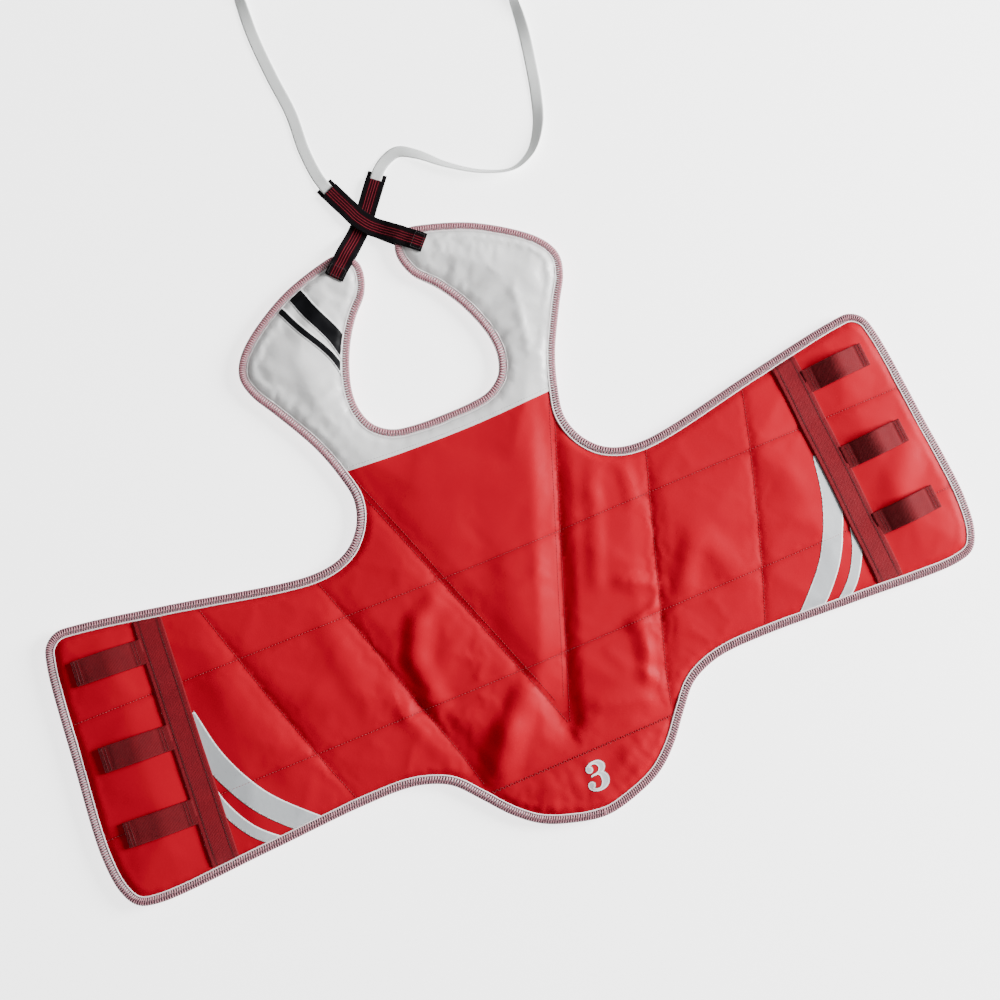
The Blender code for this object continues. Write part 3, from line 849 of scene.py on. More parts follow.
def coil_band(side):
    """A short wrap of tape that holds the coil together."""
    cx, cy = COIL_CENTRES[side]
    inner, outer = COIL_RADIUS - BAND_IN, COIL_RADIUS + BAND_OUT
    corners = [(inner, BAND_LOW), (outer, BAND_LOW), (outer, BAND_HIGH), (inner, BAND_HIGH)]
    ring = []
    for (r0, z0), (r1, z1) in zip(corners, corners[1:] + corners[:1]):
        for t in (0.08, 0.36, 0.64, 0.92):
            ring.append((r0 + (r1 - r0) * t, z0 + (z1 - z0) * t))
    way = np.array([math.cos(BAND_ANGLE), math.sin(BAND_ANGLE), 0.0])
    path = np.array([[cx, cy, z] + way * r for r, z in ring])
    tangent = unit(np.roll(path, -1, 0) - np.roll(path, 1, 0))
    across = np.tile(np.cross(way, [0, 0, 1.0]), (len(path), 1))
    section = flat_section(BAND_WIDTH, BAND_THICK)
    marks = np.arange(len(path)) * 3.0
    up = np.cross(across, tangent)
    shape = sweep(path, across, up, section, marks, section[:, 0], closed=True, looped=True)
    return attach(piece(f"tie_band_{side}", shape, TAPE, "tie_tape"), "torso")


make_camera()
for side in TAPE_ROUTES:
    make_tie(side)


# ---------------------------------------------------------------- covers

FRONT_MESH, BACK_MESH, FOAM_MESH = 5.0, 7.0, 9.0
SEAM_DEPTH, SEAM_WIDTH = 0.75, 2.3
SEAM_CREASE = 0.75
PILLOW, PILLOW_WIDTH = 1.5, 34.0
SIM_FRAMES = 20
SIM_CAP = 3.2  # the simulation moves no point further than this
SIM_SLACK, SIM_PRESSURE = 0.045, 2.5
YOKE_HEM = 0.4  # how much lower than its own thickness the yoke's edge is turned down


def cut_lines():
    """Straight lines at which the covers are split between bodies."""
    lines = []
    for sign in (-1, 1):
        lines.append([(sign * SIDE_FOLD_X, -255), (sign * SIDE_FOLD_X, 12)])
        lines.append([(sign * WING_SPLIT_X, -255), (sign * WING_SPLIT_X, 18)])
        lines.append([(sign * 50, SHOULDER_FOLD_Y), (sign * 145, SHOULDER_FOLD_Y)])
    return lines


def plan_mesh(spacing, seed):
    """Triangles over the whole vest, with edges along its outline, seams and folds. Returns plan
    points, triangles, and the sharpness of each edge that lies on a line."""
    edge = resampled(EDGE_FINE, spacing, closed=True)
    points = [edge]
    edges = [(i, (i + 1) % len(edge)) for i in range(len(edge))]
    sharp = [0.0] * len(edges)
    lines = [(line, SEAM_CREASE) for line in QUILT.values()]
    lines += [(line, 1.0) for line in (YOKE_LINE, *cut_lines())]
    for line, crease in lines:
        fine = resampled(line, spacing)
        start = sum(len(p) for p in points)
        points.append(fine)
        edges += [(start + i, start + i + 1) for i in range(len(fine) - 1)]
        sharp += [crease] * (len(fine) - 1)
    fixed = np.vstack(points)
    rng = np.random.default_rng(seed)
    rows = []
    low, high = edge.min(0), edge.max(0)
    for i, y in enumerate(np.arange(low[1], high[1], spacing * 0.866)):
        x = np.arange(low[0], high[0], spacing) + (i % 2) * spacing / 2
        rows.append(np.stack([x, np.full(len(x), y)], 1))
    grid = np.vstack(rows)
    grid += rng.uniform(-0.18, 0.18, grid.shape) * spacing
    gap = edge_gap(grid)
    for line, _ in lines:
        gap = np.minimum(gap, distance_to(grid, resampled(line, 12.0)))
    grid = grid[gap > spacing * 0.6]
    every = np.vstack([fixed, grid])
    found = delaunay_2d_cdt([Vector(p) for p in every], edges, [], 0, 1e-4)
    flat = np.array([tuple(p) for p in found[0]])
    faces = np.array([f for f in found[2] if len(f) == 3])
    faces = faces[inside(flat[faces].mean(1), edge)]
    creases = {}
    for (a, b), origin in zip(found[1], found[4]):
        if origin:
            creases[(min(a, b), max(a, b))] = max(sharp[k] for k in origin if k < len(sharp))
    used, index = np.unique(faces, return_inverse=True)
    number = {old: new for new, old in enumerate(used.tolist())}
    creases = {
        tuple(sorted((number[a], number[b]))): s
        for (a, b), s in creases.items() if a in number and b in number
    }
    return flat[used], index.reshape(-1, 3), creases


def seam_gap(xy):
    """The distance from each point to the nearest quilt seam."""
    return np.min([distance_to(xy, line) for line in QUILT.values()], axis=0)


def slope_from(off, reach, sharp=True):
    """1 on a line and 0 at the reach: steepest at the line when sharp, or else half way."""
    t = np.minimum(np.abs(off) / reach, 1)
    return (1 - t) ** 1.2 if sharp else 0.5 + 0.5 * np.cos(math.pi * t)


def seam_valleys(xy):
    """How far the seams and the webbing strips draw the front down around them."""
    drop = np.zeros(len(xy))
    for name, (first, last, low_side, high_side) in VALLEYS.items():
        line = QUILT[name]
        near = np.full(len(xy), 1e3)
        rel = np.zeros((len(xy), 2))
        share = np.zeros(len(xy))
        for i, (a, b) in enumerate(zip(line, line[1:])):
            t = np.clip((xy - a) @ (b - a) / ((b - a) @ (b - a)), 0, 1)
            away = xy - a - t[:, None] * (b - a)
            gap = np.linalg.norm(away, axis=1)
            closer = gap < near
            near[closer], rel[closer] = gap[closer], away[closer]
            share[closer] = i / len(line)
        runs_across = name.startswith(("across", "flap"))
        reach = np.where(rel[:, 1 if runs_across else 0] < 0, low_side, high_side)
        wander = 0.85 + 0.15 * np.sin(share * 17 + len(name) + first * 5)
        drop += (first + (last - first) * share) * wander * slope_from(near, reach)
    for _, sign in SIDES:
        _, out, corner = strip_ways(sign)
        off = np.abs((xy - corner) @ out - STRIP_WIDTH / 2) - STRIP_WIDTH / 2
        drop += STRIP_VALLEY * slope_from(np.maximum(off, 0), STRIP_SLOPE)
    return drop


def fold_lift(xy):
    """How far the loose folds raise or lower the front."""
    lift = np.zeros(len(xy))
    for x0, y0, x1, y1, left, right, height, sharp in FOLDS:
        way = np.array([x1 - x0, y1 - y0], float)
        length = np.linalg.norm(way)
        way /= length
        rel = xy - [x0, y0]
        s = rel @ way
        off = rel @ [-way[1], way[0]]
        shape = slope_from(off, np.where(off > 0, left, right), sharp)
        fade = (left + right) / 2
        inside_ends = smooth(s, -fade, fade / 2) * (1 - smooth(s, length - fade / 2, length + fade))
        lift += height * shape * inside_ends
    return lift


def puckers(xy, edge):
    """Small gathers where the white leather meets the binding, and round the lower flap."""
    tree = KDTree(len(EDGE))
    for i, (x, y) in enumerate(EDGE):
        tree.insert((x, y, 0), i)
    tree.balance()
    place = np.array([tree.find((x, y, 0))[1] for x, y in xy]) * EDGE_STEP
    wave = np.sin(2 * math.pi * place / PUCKER_PITCH + 2.2 * np.sin(place / 31))
    fade = np.exp(-np.abs(edge - BIND_WIDTH - 3) / PUCKER_REACH)
    x, y = xy[:, 0], xy[:, 1]
    yoke = PUCKER_YOKE * smooth(y, 70, 90)
    foot = PUCKER_FOOT * smooth(-y, 280, 300)
    waist = PUCKER_WAIST * smooth(-y, 200, 235) * (np.abs(x) < 160)
    return wave * fade * (yoke + np.maximum(foot, waist))


def rise_from_edge(edge, start=PADDING_START):
    """0 on the flange and 1 where the padding is full: a short lip, then a slow rise."""
    lip = np.sin(np.clip((edge - start) / (LIP - PADDING_START), 0, 1) * math.pi / 2)
    slow = np.sin(np.clip((edge - start) / (CROWN - PADDING_START), 0, 1) * math.pi / 2)
    return LIP_SHARE * lip + (1 - LIP_SHARE) * slow


def simulated(shape, hold):
    """The cover after a cloth simulation: it is a little too large for its panels, swells, and is
    held where hold is 1. Returns how far each point moved, capped."""
    obj = linked("cloth", to_mesh("cloth", shape))
    group = obj.vertex_groups.new(name="hold")
    for i, weight in enumerate(hold):
        if weight > 0.01:
            group.add([i], float(weight), "REPLACE")
    cloth = obj.modifiers.new("cloth", "CLOTH")
    s = cloth.settings
    s.quality = 5
    s.mass = 0.25
    s.tension_stiffness = s.compression_stiffness = 25
    s.shear_stiffness = 12
    s.bending_stiffness = 8
    s.air_damping = 3
    s.vertex_group_mass = "hold"
    s.shrink_min = -SIM_SLACK
    s.use_pressure = True
    s.uniform_pressure_force = SIM_PRESSURE
    s.effector_weights.gravity = 0
    cloth.point_cache.frame_start = 1
    cloth.point_cache.frame_end = SIM_FRAMES
    for frame_number in range(1, SIM_FRAMES + 1):
        bpy.context.scene.frame_set(frame_number)
    deps = bpy.context.evaluated_depsgraph_get()
    moved = read_back(obj.evaluated_get(deps).to_mesh(), []).points - shape.points
    bpy.context.scene.frame_set(1)
    bpy.data.objects.remove(obj)
    far = np.linalg.norm(moved, axis=1)
    return moved * (SIM_CAP * np.tanh(far / SIM_CAP) / np.maximum(far, 1e-6))[:, None]


def looseness(xy):
    """How loose the front cover is: most between the V and the inner quilt lines, low down."""
    x, y = np.abs(xy[:, 0]), xy[:, 1]
    waist = np.exp(-((x - 105) / 55) ** 2) * np.exp(-((y + 165) / 90) ** 2)
    foot = np.exp(-((y + 300) / 30) ** 2) * (x < 120)
    shoulder = 0.45 * smooth(y, 90, 140)
    return np.clip(0.12 + 0.35 * waist + 0.25 * foot + shoulder, 0, 1)


def cover_plan(spacing, seed):
    """A cover's mesh in the plan, and for each of its points the distance from the edge and from
    the nearest seam, and the share of the padding's rise."""
    flat, faces, creases = plan_mesh(spacing, seed)
    edge = edge_gap(flat)
    return flat, faces, creases, edge, seam_gap(flat), rise_from_edge(edge)


def front_cover():
    flat, faces, creases, edge, seam, rise = cover_plan(FRONT_MESH, 3)
    groove = np.exp(-seam / SEAM_WIDTH)
    pillow = 1 - np.exp(-((seam / PILLOW_WIDTH) ** 2))
    body = rise * (PILLOW * pillow - SEAM_DEPTH * groove)
    z = MIDDLE + FLANGE_HALF + (THICK - MIDDLE - FLANGE_HALF) * rise + body
    shape = Shape(np.column_stack([flat, z]), faces, {"gap": np.minimum(seam, edge - BIND_WIDTH)})
    hold = np.clip(1 - smooth(edge, 11, 15) + np.exp(-seam / 1.5), 0, 1)
    moved = simulated(shape, hold)
    shape.points += moved * (looseness(flat) * (1 - 0.8 * groove))[:, None]
    shape.points[:, 2] += (fold_lift(flat) - seam_valleys(flat)) * rise
    shape.points[:, 2] += puckers(flat, edge) * (edge > BIND_WIDTH)
    shape.points[:, 2] = np.maximum(shape.points[:, 2], MIDDLE + FLANGE_HALF)
    return refined(shape, creases)


def back_cover():
    flat, faces, creases, edge, seam, rise = cover_plan(BACK_MESH, 4)
    z = (MIDDLE - FLANGE_HALF) * (1 - rise) + 1.4 * rise * np.exp(-seam / 3.6)
    wave = 0.25 * (1 + np.sin(flat[:, 0] / 17 + 2 * np.sin(flat[:, 1] / 23)))
    z = np.maximum(z + wave * rise * (1 - np.exp(-seam / 8)) * 0.6, 0.05)
    shape = Shape(
        np.column_stack([flat, z]), faces[:, ::-1], {"gap": np.minimum(seam, edge - BIND_WIDTH)}
    )
    result = refined(shape, creases)
    result.points[:, 2] = np.maximum(result.points[:, 2], 0.05)
    return result


def hemmed(shape, drop):
    """The white yoke's lower edge, turned down on to the red panel."""
    rim = rim_edges(shape.faces)
    near = np.abs(shape.points[:, 1] - yoke_y(shape.points[:, 0])) < 1.2
    rim = rim[near[rim].all(1)]
    used, lower = points_below(len(shape.points), rim)
    return Shape(
        np.vstack([shape.points, shape.points[used] + [0, -0.25, -drop]]),
        np.vstack([shape.faces, wall_quads(rim, lower)]),
        {k: np.concatenate([v, v[used]]) for k, v in shape.values.items()},
        np.vstack([shape.normals, np.tile([0, -0.9, 0.44], (len(used), 1))]),
    )


def padded_piece(name, shape, finish, region, nodes):
    slot = finish.name.partition(".")[0]
    fitted(name, shape, finish, slot, region, *nodes)


def make_cover(cover, face, finish):
    """The front or the back cover's pieces: coloured, with white shoulders and a white yoke."""
    front = face == "front"
    proud = YOKE_PROUD if front else 0.0
    for region, shape in split_by_region(cover).items():
        nodes = [f"{face}_cover_{body_name(region)}"]
        look = finish
        if region.startswith("shoulder"):
            shape.points[:, 2] += proud
            look = WHITE
        elif region == "torso":
            centres = shape.centres()
            white = centres[:, 1] > yoke_y(centres[:, 0])
            yoke = shape.part(white)
            yoke.points[:, 2] += proud
            if front:
                yoke = hemmed(yoke, proud + YOKE_HEM)
                nodes = ["front_body_panel", "front_v_panel"]
            padded_piece(f"{face}_yoke_white", yoke, WHITE, region, ["front_yoke"] if front else [])
            shape = shape.part(~white)
        padded_piece(f"{face}_{region}", shape, look, region, nodes)


# How far the foam stays from the edge, from the flat of the covers, and from the front cover.
FOAM_INSET = 12.0
FOAM_CLEAR = 1.9
FOAM_TOP_CLEAR = 1.6


def make_foam():
    """The foam between the covers, one closed slab for each region."""
    flat, faces, _ = plan_mesh(FOAM_MESH, 5)
    edge = edge_gap(flat)
    faces = faces[(edge[faces] > FOAM_INSET).all(1)]
    seam = seam_gap(flat)
    rise = rise_from_edge(edge, FOAM_INSET - 3)
    centres = flat[faces].mean(1)
    regions = np.array([region_of(x, y) for x, y in centres])
    half = np.clip((MIDDLE - FOAM_CLEAR) * rise - 1.7 * np.exp(-seam / 3.4), 0.6, None)
    for region in np.unique(regions):
        chosen = faces[regions == region]
        used, index = np.unique(chosen, return_inverse=True)
        chosen = index.reshape(-1, 3)
        high = [front_height(*p) - FOAM_TOP_CLEAR for p in flat[used]]
        top = np.column_stack([flat[used], np.clip(MIDDLE + half[used], MIDDLE + 0.3, high)])
        low = np.column_stack([flat[used], MIDDLE - half[used]])
        wall = wall_quads(rim_edges(chosen), np.arange(len(used)) + len(used))
        slab = [chosen, chosen[:, ::-1] + len(used), wall[:, :3], wall[:, [0, 2, 3]]]
        shape = Shape(np.vstack([top, low]), np.vstack(slab))
        nodes = [f"foam_{body_name(region)}"]
        padded_piece(f"foam_pad_{region}", shape, FOAM, region, nodes)


FRONT = front_cover()
BACK = back_cover()
FRONT_TREE, BACK_TREE = FRONT.tree(), BACK.tree()
make_cover(FRONT, "front", RED)
make_cover(BACK, "back", BLUE)


def front_height(x, y):
    """The height of the front cover, or of the flange where there is none."""
    hit = FRONT_TREE.ray_cast(Vector((x, y, 60.0)), Vector((0, 0, -1)))[0]
    white = YOKE_PROUD if y > yoke_y(min(abs(x), YOKE_HALF)) and abs(x) < 180 else 0.0
    return (hit.z if hit else MIDDLE + FLANGE_HALF) + white


def back_height(x, y):
    hit = BACK_TREE.ray_cast(Vector((x, y, -60.0)), Vector((0, 0, 1)))[0]
    return hit.z if hit else MIDDLE - FLANGE_HALF


make_foam()


# ---------------------------------------------------------------- edge binding

# The bound edge's section, as distance in from the edge and height, with a raised piping on top.
BINDING_SECTION = [
    (9.1, -1.2), (9.4, -1.9), (9.0, -2.8), (8.4, -3.0), (7.8, -2.6), (5.0, -2.8), (2.2, -2.6),
    (0.8, -1.9), (0.15, -0.8), (0.15, 0.8), (0.8, 1.9), (2.2, 2.4), (4.5, 2.5), (7.0, 2.3),
    (7.6, 1.9), (7.75, 2.6), (8.1, 3.1), (8.6, 3.2), (9.05, 2.75), (9.3, 1.9), (9.1, 1.2),
]
BINDING_STEP = 1.6

# The overlock's threads: radius, slant, how proud they are, and tone by the red and by the white.
OVERLOCK_REACH = 7.6
OVERLOCK_PITCH = 2.5
OVERLOCK_THREADS = {"light": (0.52, -1.0, 1.13, 0.06, 0.10), "dark": (0.80, 1.0, 1.0, 1.0, 0.72)}


def edge_frame(spacing):
    """Places along the whole edge, the inward way at each, and the up way."""
    loop = resampled(EDGE_FINE, spacing, closed=True)
    inward = inward_normals(loop)
    for _ in range(4):
        inward = unit(inward + 0.5 * (np.roll(inward, 1, 0) + np.roll(inward, -1, 0)))
    along = np.arange(len(loop)) * spacing
    wander = np.maximum(0.25 * np.sin(along / 21) * np.sin(along / 13), 0)
    places = np.column_stack([loop + inward * wander[:, None], np.full(len(loop), MIDDLE)])
    return places, np.column_stack([inward, np.zeros(len(loop))])


def binding_nodes(region):
    kind, _, side = region.partition("_")
    if kind == "torso":
        places = ("neck", "armpit_left", "armpit_right", "waist_left", "waist_right")
        return [f"binding_{place}" for place in places]
    if kind == "root":
        return [f"binding_wing_top_{side}", f"binding_wing_foot_{side}"]
    return [f"binding_{body_name(region)}"]


def make_binding():
    places, inward = edge_frame(BINDING_STEP)
    up = np.tile([0.0, 0.0, 1.0], (len(places), 1))
    section = np.array(BINDING_SECTION)
    marks = np.arange(len(places)) * BINDING_STEP
    shape = sweep(places, inward, up, section, marks, lengths_along(section), looped=True)
    shape = refined(shape, levels=0)
    for region, part in split_by_region(shape).items():
        name = f"binding_{region}_tape"
        fitted(name, part, BINDING, "edge_binding", region, *binding_nodes(region))


def make_overlock():
    """Overlock stitches round the whole edge: dark ones that slant one way, and light ones that
    cross over them."""
    places, inward = edge_frame(OVERLOCK_PITCH / 2)
    along = np.column_stack([inward[:, 1], -inward[:, 0], np.zeros(len(inward))])
    # How a thread goes round the edge: distance in, height, and how far along it slants.
    wrap = np.array([
        (OVERLOCK_REACH, 2.1, 0.0), (5.0, 2.8, 0.5), (2.4, 2.7, 1.1), (0.6, 2.0, 1.6),
        (-0.2, 0.0, 1.9), (0.6, -2.0, 1.6), (2.4, -2.85, 1.1), (5.0, -3.0, 0.5),
        (OVERLOCK_REACH, -2.8, 0.0),
    ])
    rng = np.random.default_rng(8)
    threads = defaultdict(lambda: {kind: ([], []) for kind in OVERLOCK_THREADS})
    for i, place in enumerate(places):
        kind = "dark" if i % 2 else "light"
        _, slant, proud, red_tone, white_tone = OVERLOCK_THREADS[kind]
        slip = rng.uniform(-0.1, 0.1)
        rows, tones = threads[region_of(*place[:2])][kind]
        rows.append(
            place + inward[i] * wrap[:, :1] + along[i] * (wrap[:, 2:] * slant + slip)
            + np.outer(wrap[:, 1] * proud, [0, 0, 1])
        )
        tones.append(white_tone if place[1] > yoke_y(YOKE_HALF) else red_tone)
    for region, kinds in threads.items():
        stitches = joined([
            tubes(rows, OVERLOCK_THREADS[kind][0], tones) for kind, (rows, tones) in kinds.items()
        ])
        fitted(f"overlock_{region}", stitches, OVERLOCK, "edge_binding", region)


make_binding()
make_overlock()


# ---------------------------------------------------------------- quilting stitches

STITCH_PITCH, STITCH_LENGTH, STITCH_RADIUS = 3.1, 2.3, 0.25
ZIGZAG = (2.6, 1.7)  # the lower flap's seam: along for each stitch, and to each side


def dashes(line, height, side=1, pitch=STITCH_PITCH, length=STITCH_LENGTH, proud=0.30):
    """One thread for each stitch along a plan line, dipping into the cover at both ends."""
    line = resampled(line, pitch)
    threads = []
    for a, b in zip(line, line[1:]):
        span = (b - a) / np.linalg.norm(b - a)
        middle = (a + b) / 2
        row = []
        for t, lift in ((-0.5, -0.30), (-0.3, 0.75 * proud), (0.3, 0.75 * proud), (0.5, -0.30)):
            p = middle + span * length * t
            row.append((p[0], p[1], height(*p) + side * lift))
        threads.append(row)
    return threads


def offset_line(line, distance):
    """The line moved to its left by a distance, or by one distance for each of its points."""
    along = unit(np.gradient(line, axis=0))
    return line + np.stack([-along[:, 1], along[:, 0]], 1) * np.reshape(distance, (-1, 1))


def zigzag(line, pitch, reach):
    fine = resampled(line, pitch)
    return offset_line(fine, reach * (1 - 2 * (np.arange(len(fine)) % 2)))


def on_padding(line):
    """The stretch of a line that lies on the padding, inside the binding."""
    fine = resampled(line, 1.0)
    return fine[edge_gap(fine) > BIND_WIDTH + 0.5]


def make_quilting():
    threads = defaultdict(list)

    def sew(line, finish, height=front_height, side=1, **sizes):
        for row in dashes(on_padding(line), height, side, **sizes):
            x, y, _ = np.mean(row, axis=0)
            threads[region_of(x, y), finish].append(row)

    for name, line in QUILT.items():
        if name == "flap":
            fine = on_padding(line)
            corners = zigzag(fine, *ZIGZAG)
            for a, b in zip(corners, corners[1:]):
                row = [(*(a + (b - a) * t), front_height(*(a + (b - a) * t)) + lift)
                       for t, lift in ((0.05, -0.1), (0.35, 0.3), (0.65, 0.3), (0.95, -0.1))]
                threads[region_of(*np.mean([a, b], axis=0)), "red"].append(row)
        else:
            sew(line, "red")
        if name.startswith("v_"):
            inner = 5.0 if name.endswith("left") else -5.0
            sew(offset_line(line, inner)[4:-8], "red")
        sew(line, "blue", back_height, -1)
    sew(YOKE_LINE + [0, 3.2], "white")
    sew(YOKE_LINE + [0, 0.8], "white", back_height, -1)
    looks = {"red": RED_THREAD, "blue": BLUE_THREAD, "white": WHITE_THREAD}
    for (region, finish), rows in threads.items():
        shape, slot = tubes(rows, STITCH_RADIUS), f"{finish}_leatherette"
        fitted(f"stitches_{finish}_{region}", shape, looks[finish], slot, region)


make_quilting()


# ---------------------------------------------------------------- webbing strips and lacing loops

STRIP_ENDS = (-13.0, 243.0)  # along the strip from its inner top corner
STRIP_SEWN = 8.8  # distance of its two sewn lines from its middle
LOOP_RISES = {"right": (7.8, 8.4, 7.4), "left": (2.8, 3.6, 2.4)}
LOOP_FOOT = 9.0
FOLD_UNDER = 8.5
LOOP_STITCH, STRIP_STITCH, ELASTIC_STITCH = 0.22, 0.24, 0.24  # radius of the thread


def resting_line(start, way, lengths, across, half, clear):
    """Places along a straight line in the plan, lying on the highest cover under a strap there."""
    heights = []
    for length in lengths:
        here = start + way * length
        spots = [here + across * half * u for u in (-0.95, -0.5, 0, 0.5, 0.95)]
        heights.append(max(front_height(*p) for p in spots))
    heights = np.array(heights)
    wide = np.maximum.reduce([heights, np.roll(heights, 1), np.roll(heights, -1)])
    wide[[0, -1]] = heights[[0, -1]]
    padded_out = np.pad(wide, 4, mode="edge")
    soft = np.convolve(padded_out, [0.05, 0.1, 0.15, 0.2, 0.2, 0.15, 0.1, 0.05, 0.0], "same")[4:-4]
    return np.column_stack([start + way * lengths[:, None], np.maximum(soft, heights) + clear])


def strap_top(start, way, marks, heights, above):
    """The height of a strap's top at a plan point, from the heights at marks along its way."""
    return lambda x, y: np.interp((np.array([x, y]) - start) @ way, marks, heights) + above


def tucked(xy):
    """How far the ends of a strip dip, to pass under the binding and a little on towards the edge."""
    gap = edge_gap(xy)
    return 3.2 * (1 - smooth(gap, 9.2, 11.4)) + np.clip(7.0 - gap, 0, 1.5) * 0.6


def make_strip(side, sign):
    along, out, corner = strip_ways(sign)
    lengths = np.linspace(*STRIP_ENDS, 130)
    middle = corner + out * STRIP_WIDTH / 2
    path = resting_line(middle, along, lengths, out, STRIP_WIDTH / 2, 0.2 + STRIP_THICK / 2)
    section = flat_section(STRIP_WIDTH, STRIP_THICK, 25, 0.22)
    shape = strap(path, section)
    shape.points[:, 2] -= tucked(shape.points[:, :2])
    shape = refined(shape, levels=0)
    region = f"outer_{side}"
    fitted(f"strip_{side}", shape, STRAP, "webbing", region, f"webbing_strip_{side}")
    rows = []
    for off in (-STRIP_SEWN, STRIP_SEWN):
        line = path[8:-8, :2] + out * off
        heights = path[8:-8, 2] + STRIP_THICK / 2
        top = strap_top(line[0], along, lengths_along(line), heights, -0.05)
        rows += dashes(line, top, pitch=2.8, length=2.1, proud=0.32)
    fitted(f"strip_stitches_{side}", tubes(rows, STRIP_STITCH), STRIP_THREAD, "webbing", region)


def loop_path(rise):
    """A belt loop seen from the side, as reach and rise: foot, arch, foot, and its turned end."""
    t = np.linspace(0, 1, 34)
    span = LOOP_REACH - 2 * LOOP_FOOT
    arch = rise * np.sin(math.pi * t) ** 0.75 * (1 - 0.22 * np.cos(2 * math.pi * t))
    lie = LOOP_THICK * 1.25
    reach = np.concatenate([np.linspace(-3, LOOP_FOOT - 1, 5), LOOP_FOOT + span * t])
    height = np.concatenate([np.zeros(5), arch + lie * smooth(t, 0.6, 1.0)])
    turn = np.linspace(math.pi / 2, -math.pi / 2, 7)
    bend = lie / 2
    outer = np.linspace(LOOP_REACH - LOOP_FOOT + 1.5, LOOP_REACH - bend, 6)
    reach = np.concatenate([reach, outer, LOOP_REACH - bend + bend * np.cos(turn)[1:]])
    height = np.concatenate([height, np.full(6, lie), bend + bend * np.sin(turn)[1:]])
    back = np.linspace(LOOP_REACH - bend - 1.2, LOOP_REACH - FOLD_UNDER, 4)
    return np.concatenate([reach, back]), np.concatenate([height, np.zeros(4)])


def make_loop(side, sign, number, y, rise):
    along, out, corner = strip_ways(sign)
    root = corner + along * (corner[1] - y) / math.cos(STRIP_LEAN) + out * (STRIP_WIDTH + 0.3)
    reach, height = loop_path(rise)
    lengths = np.linspace(-3, LOOP_REACH + 1, 40)
    ground = resting_line(root, out, lengths, along, LOOP_WIDTH / 2, 0.15 + LOOP_THICK / 2)[:, 2]
    base = np.interp(reach, lengths, ground)
    path = np.column_stack([root + out * reach[:, None], base + height])
    section = flat_section(LOOP_WIDTH, LOOP_THICK, 21, 0.16)
    across = np.append(sign * along, 0.0)
    shape = strap(path, section, level=across)
    # The strap's middle sinks a little between its edges, as loose webbing does.
    u = shape.values["across"] / (LOOP_WIDTH / 2)
    sag = 0.7 * (1 - u ** 2) * np.repeat(np.clip(height / max(rise, 1), 0, 1), len(section))
    twist = 0.5 * u * np.sin(shape.values["along"] / 11 + number)
    shape.points[:, 2] += np.where(sag > 0, twist * sag - sag * 0.4, 0)
    shape = refined(shape, levels=0)
    region, place = f"outer_{side}", f"{side}_{number}"
    fitted(f"lacing_{place}", shape, LOOP, "webbing", region, f"lacing_loop_{place}")
    rows = []
    for at in (3.4, 6.4, LOOP_REACH - 3.0, LOOP_REACH - 6.2):
        ends = [root + out * at + along * LOOP_WIDTH * k for k in (-0.46, 0.46)]
        top = np.interp(at, reach[:45], (base + height)[:45]) + LOOP_THICK / 2 - 0.04
        rows += dashes(np.array(ends), lambda x, y, z=top: z, pitch=2.1, length=1.6, proud=0.3)
    stitches = tubes(rows, LOOP_STITCH)
    fitted(f"lacing_stitches_{place}", stitches, STRIP_THREAD, "webbing", region)


for side, sign in SIDES:
    make_strip(side, sign)
    for number, y in enumerate(LOOPS_Y, start=1):
        make_loop(side, sign, number, y, LOOP_RISES[side][number - 1])


# ---------------------------------------------------------------- neck elastics

ELASTIC_WIDTH, ELASTIC_THICK = 20.0, 1.2
TIP_END, CROSSING = np.array([49.0, 262.0]), np.array([0.0, 307.0])
ELASTIC_ENDS = {"right": np.array([-22.0, 358.0]), "left": np.array([34.0, 350.0])}
CROSSING_HEIGHTS = {"right": {"front": 5.4, "back": 3.9}, "left": {"front": 2.4, "back": 0.9}}
CROSS_FLAT = 18.5
END_SHARE = {"front": 0.86, "back": 1.0}


def elastic_route(side, sign, layer):
    """The middle of one layer of an elastic, from the shoulder tip over the crossing to its end."""
    tip, end = TIP_END * [sign, 1], ELASTIC_ENDS[side]
    to_cross, away = CROSSING - tip, end - CROSSING
    reach, far = np.linalg.norm(to_cross), np.linalg.norm(away)
    level = CROSSING_HEIGHTS[side][layer]
    if layer == "front":
        side_way = np.array([-to_cross[1], to_cross[0]]) / reach
        start = []
        for t, least in ((0, 0), (6, 0), (12, 11.9), (17, 12.0), (22, 12.0), (29, 11.5)):
            here = tip + to_cross / reach * t
            tops = [front_height(*(here + side_way * u)) for u in (-9.5, -5, 0, 5, 9.5)]
            start.append((t, max(least, max(tops) + 0.95)))
    else:
        start = [(24.5, 3.9), (30, 3.5)]
    points = [(*(tip + to_cross / reach * t), z) for t, z in start]
    points += [(*(CROSSING - to_cross / reach * d), level) for d in (CROSS_FLAT, 7.0)]
    points += [(*(CROSSING + away / far * d), level) for d in (8.0, CROSS_FLAT)]
    low = {"front": 3.8, "back": 0.9}[layer]
    share = END_SHARE[layer]
    points += [(*(CROSSING + away * s), low) for s in (0.72 * share + 0.02, share)]
    return np.array(points)


def make_elastic(side, sign, layer):
    path = resampled(centripetal(elastic_route(side, sign, layer), 2.0), 1.5)
    section = flat_section(ELASTIC_WIDTH, ELASTIC_THICK, 25, 0.1)
    shape = strap(path, section)
    u = shape.values["across"]
    # Faint waves along both edges, where the elastic has been stretched.
    shape.points[:, 2] += 0.28 * np.sin(shape.values["along"] / 3.1) * (np.abs(u) / 10) ** 3
    shape = refined(shape, levels=0)
    elastic = piece(f"elastic_strap_{layer}_{side}", shape, ELASTIC, "neck_elastic")
    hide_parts(f"elastic_{layer}_{side}")
    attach(elastic, f"shoulder_{side}")
    return path


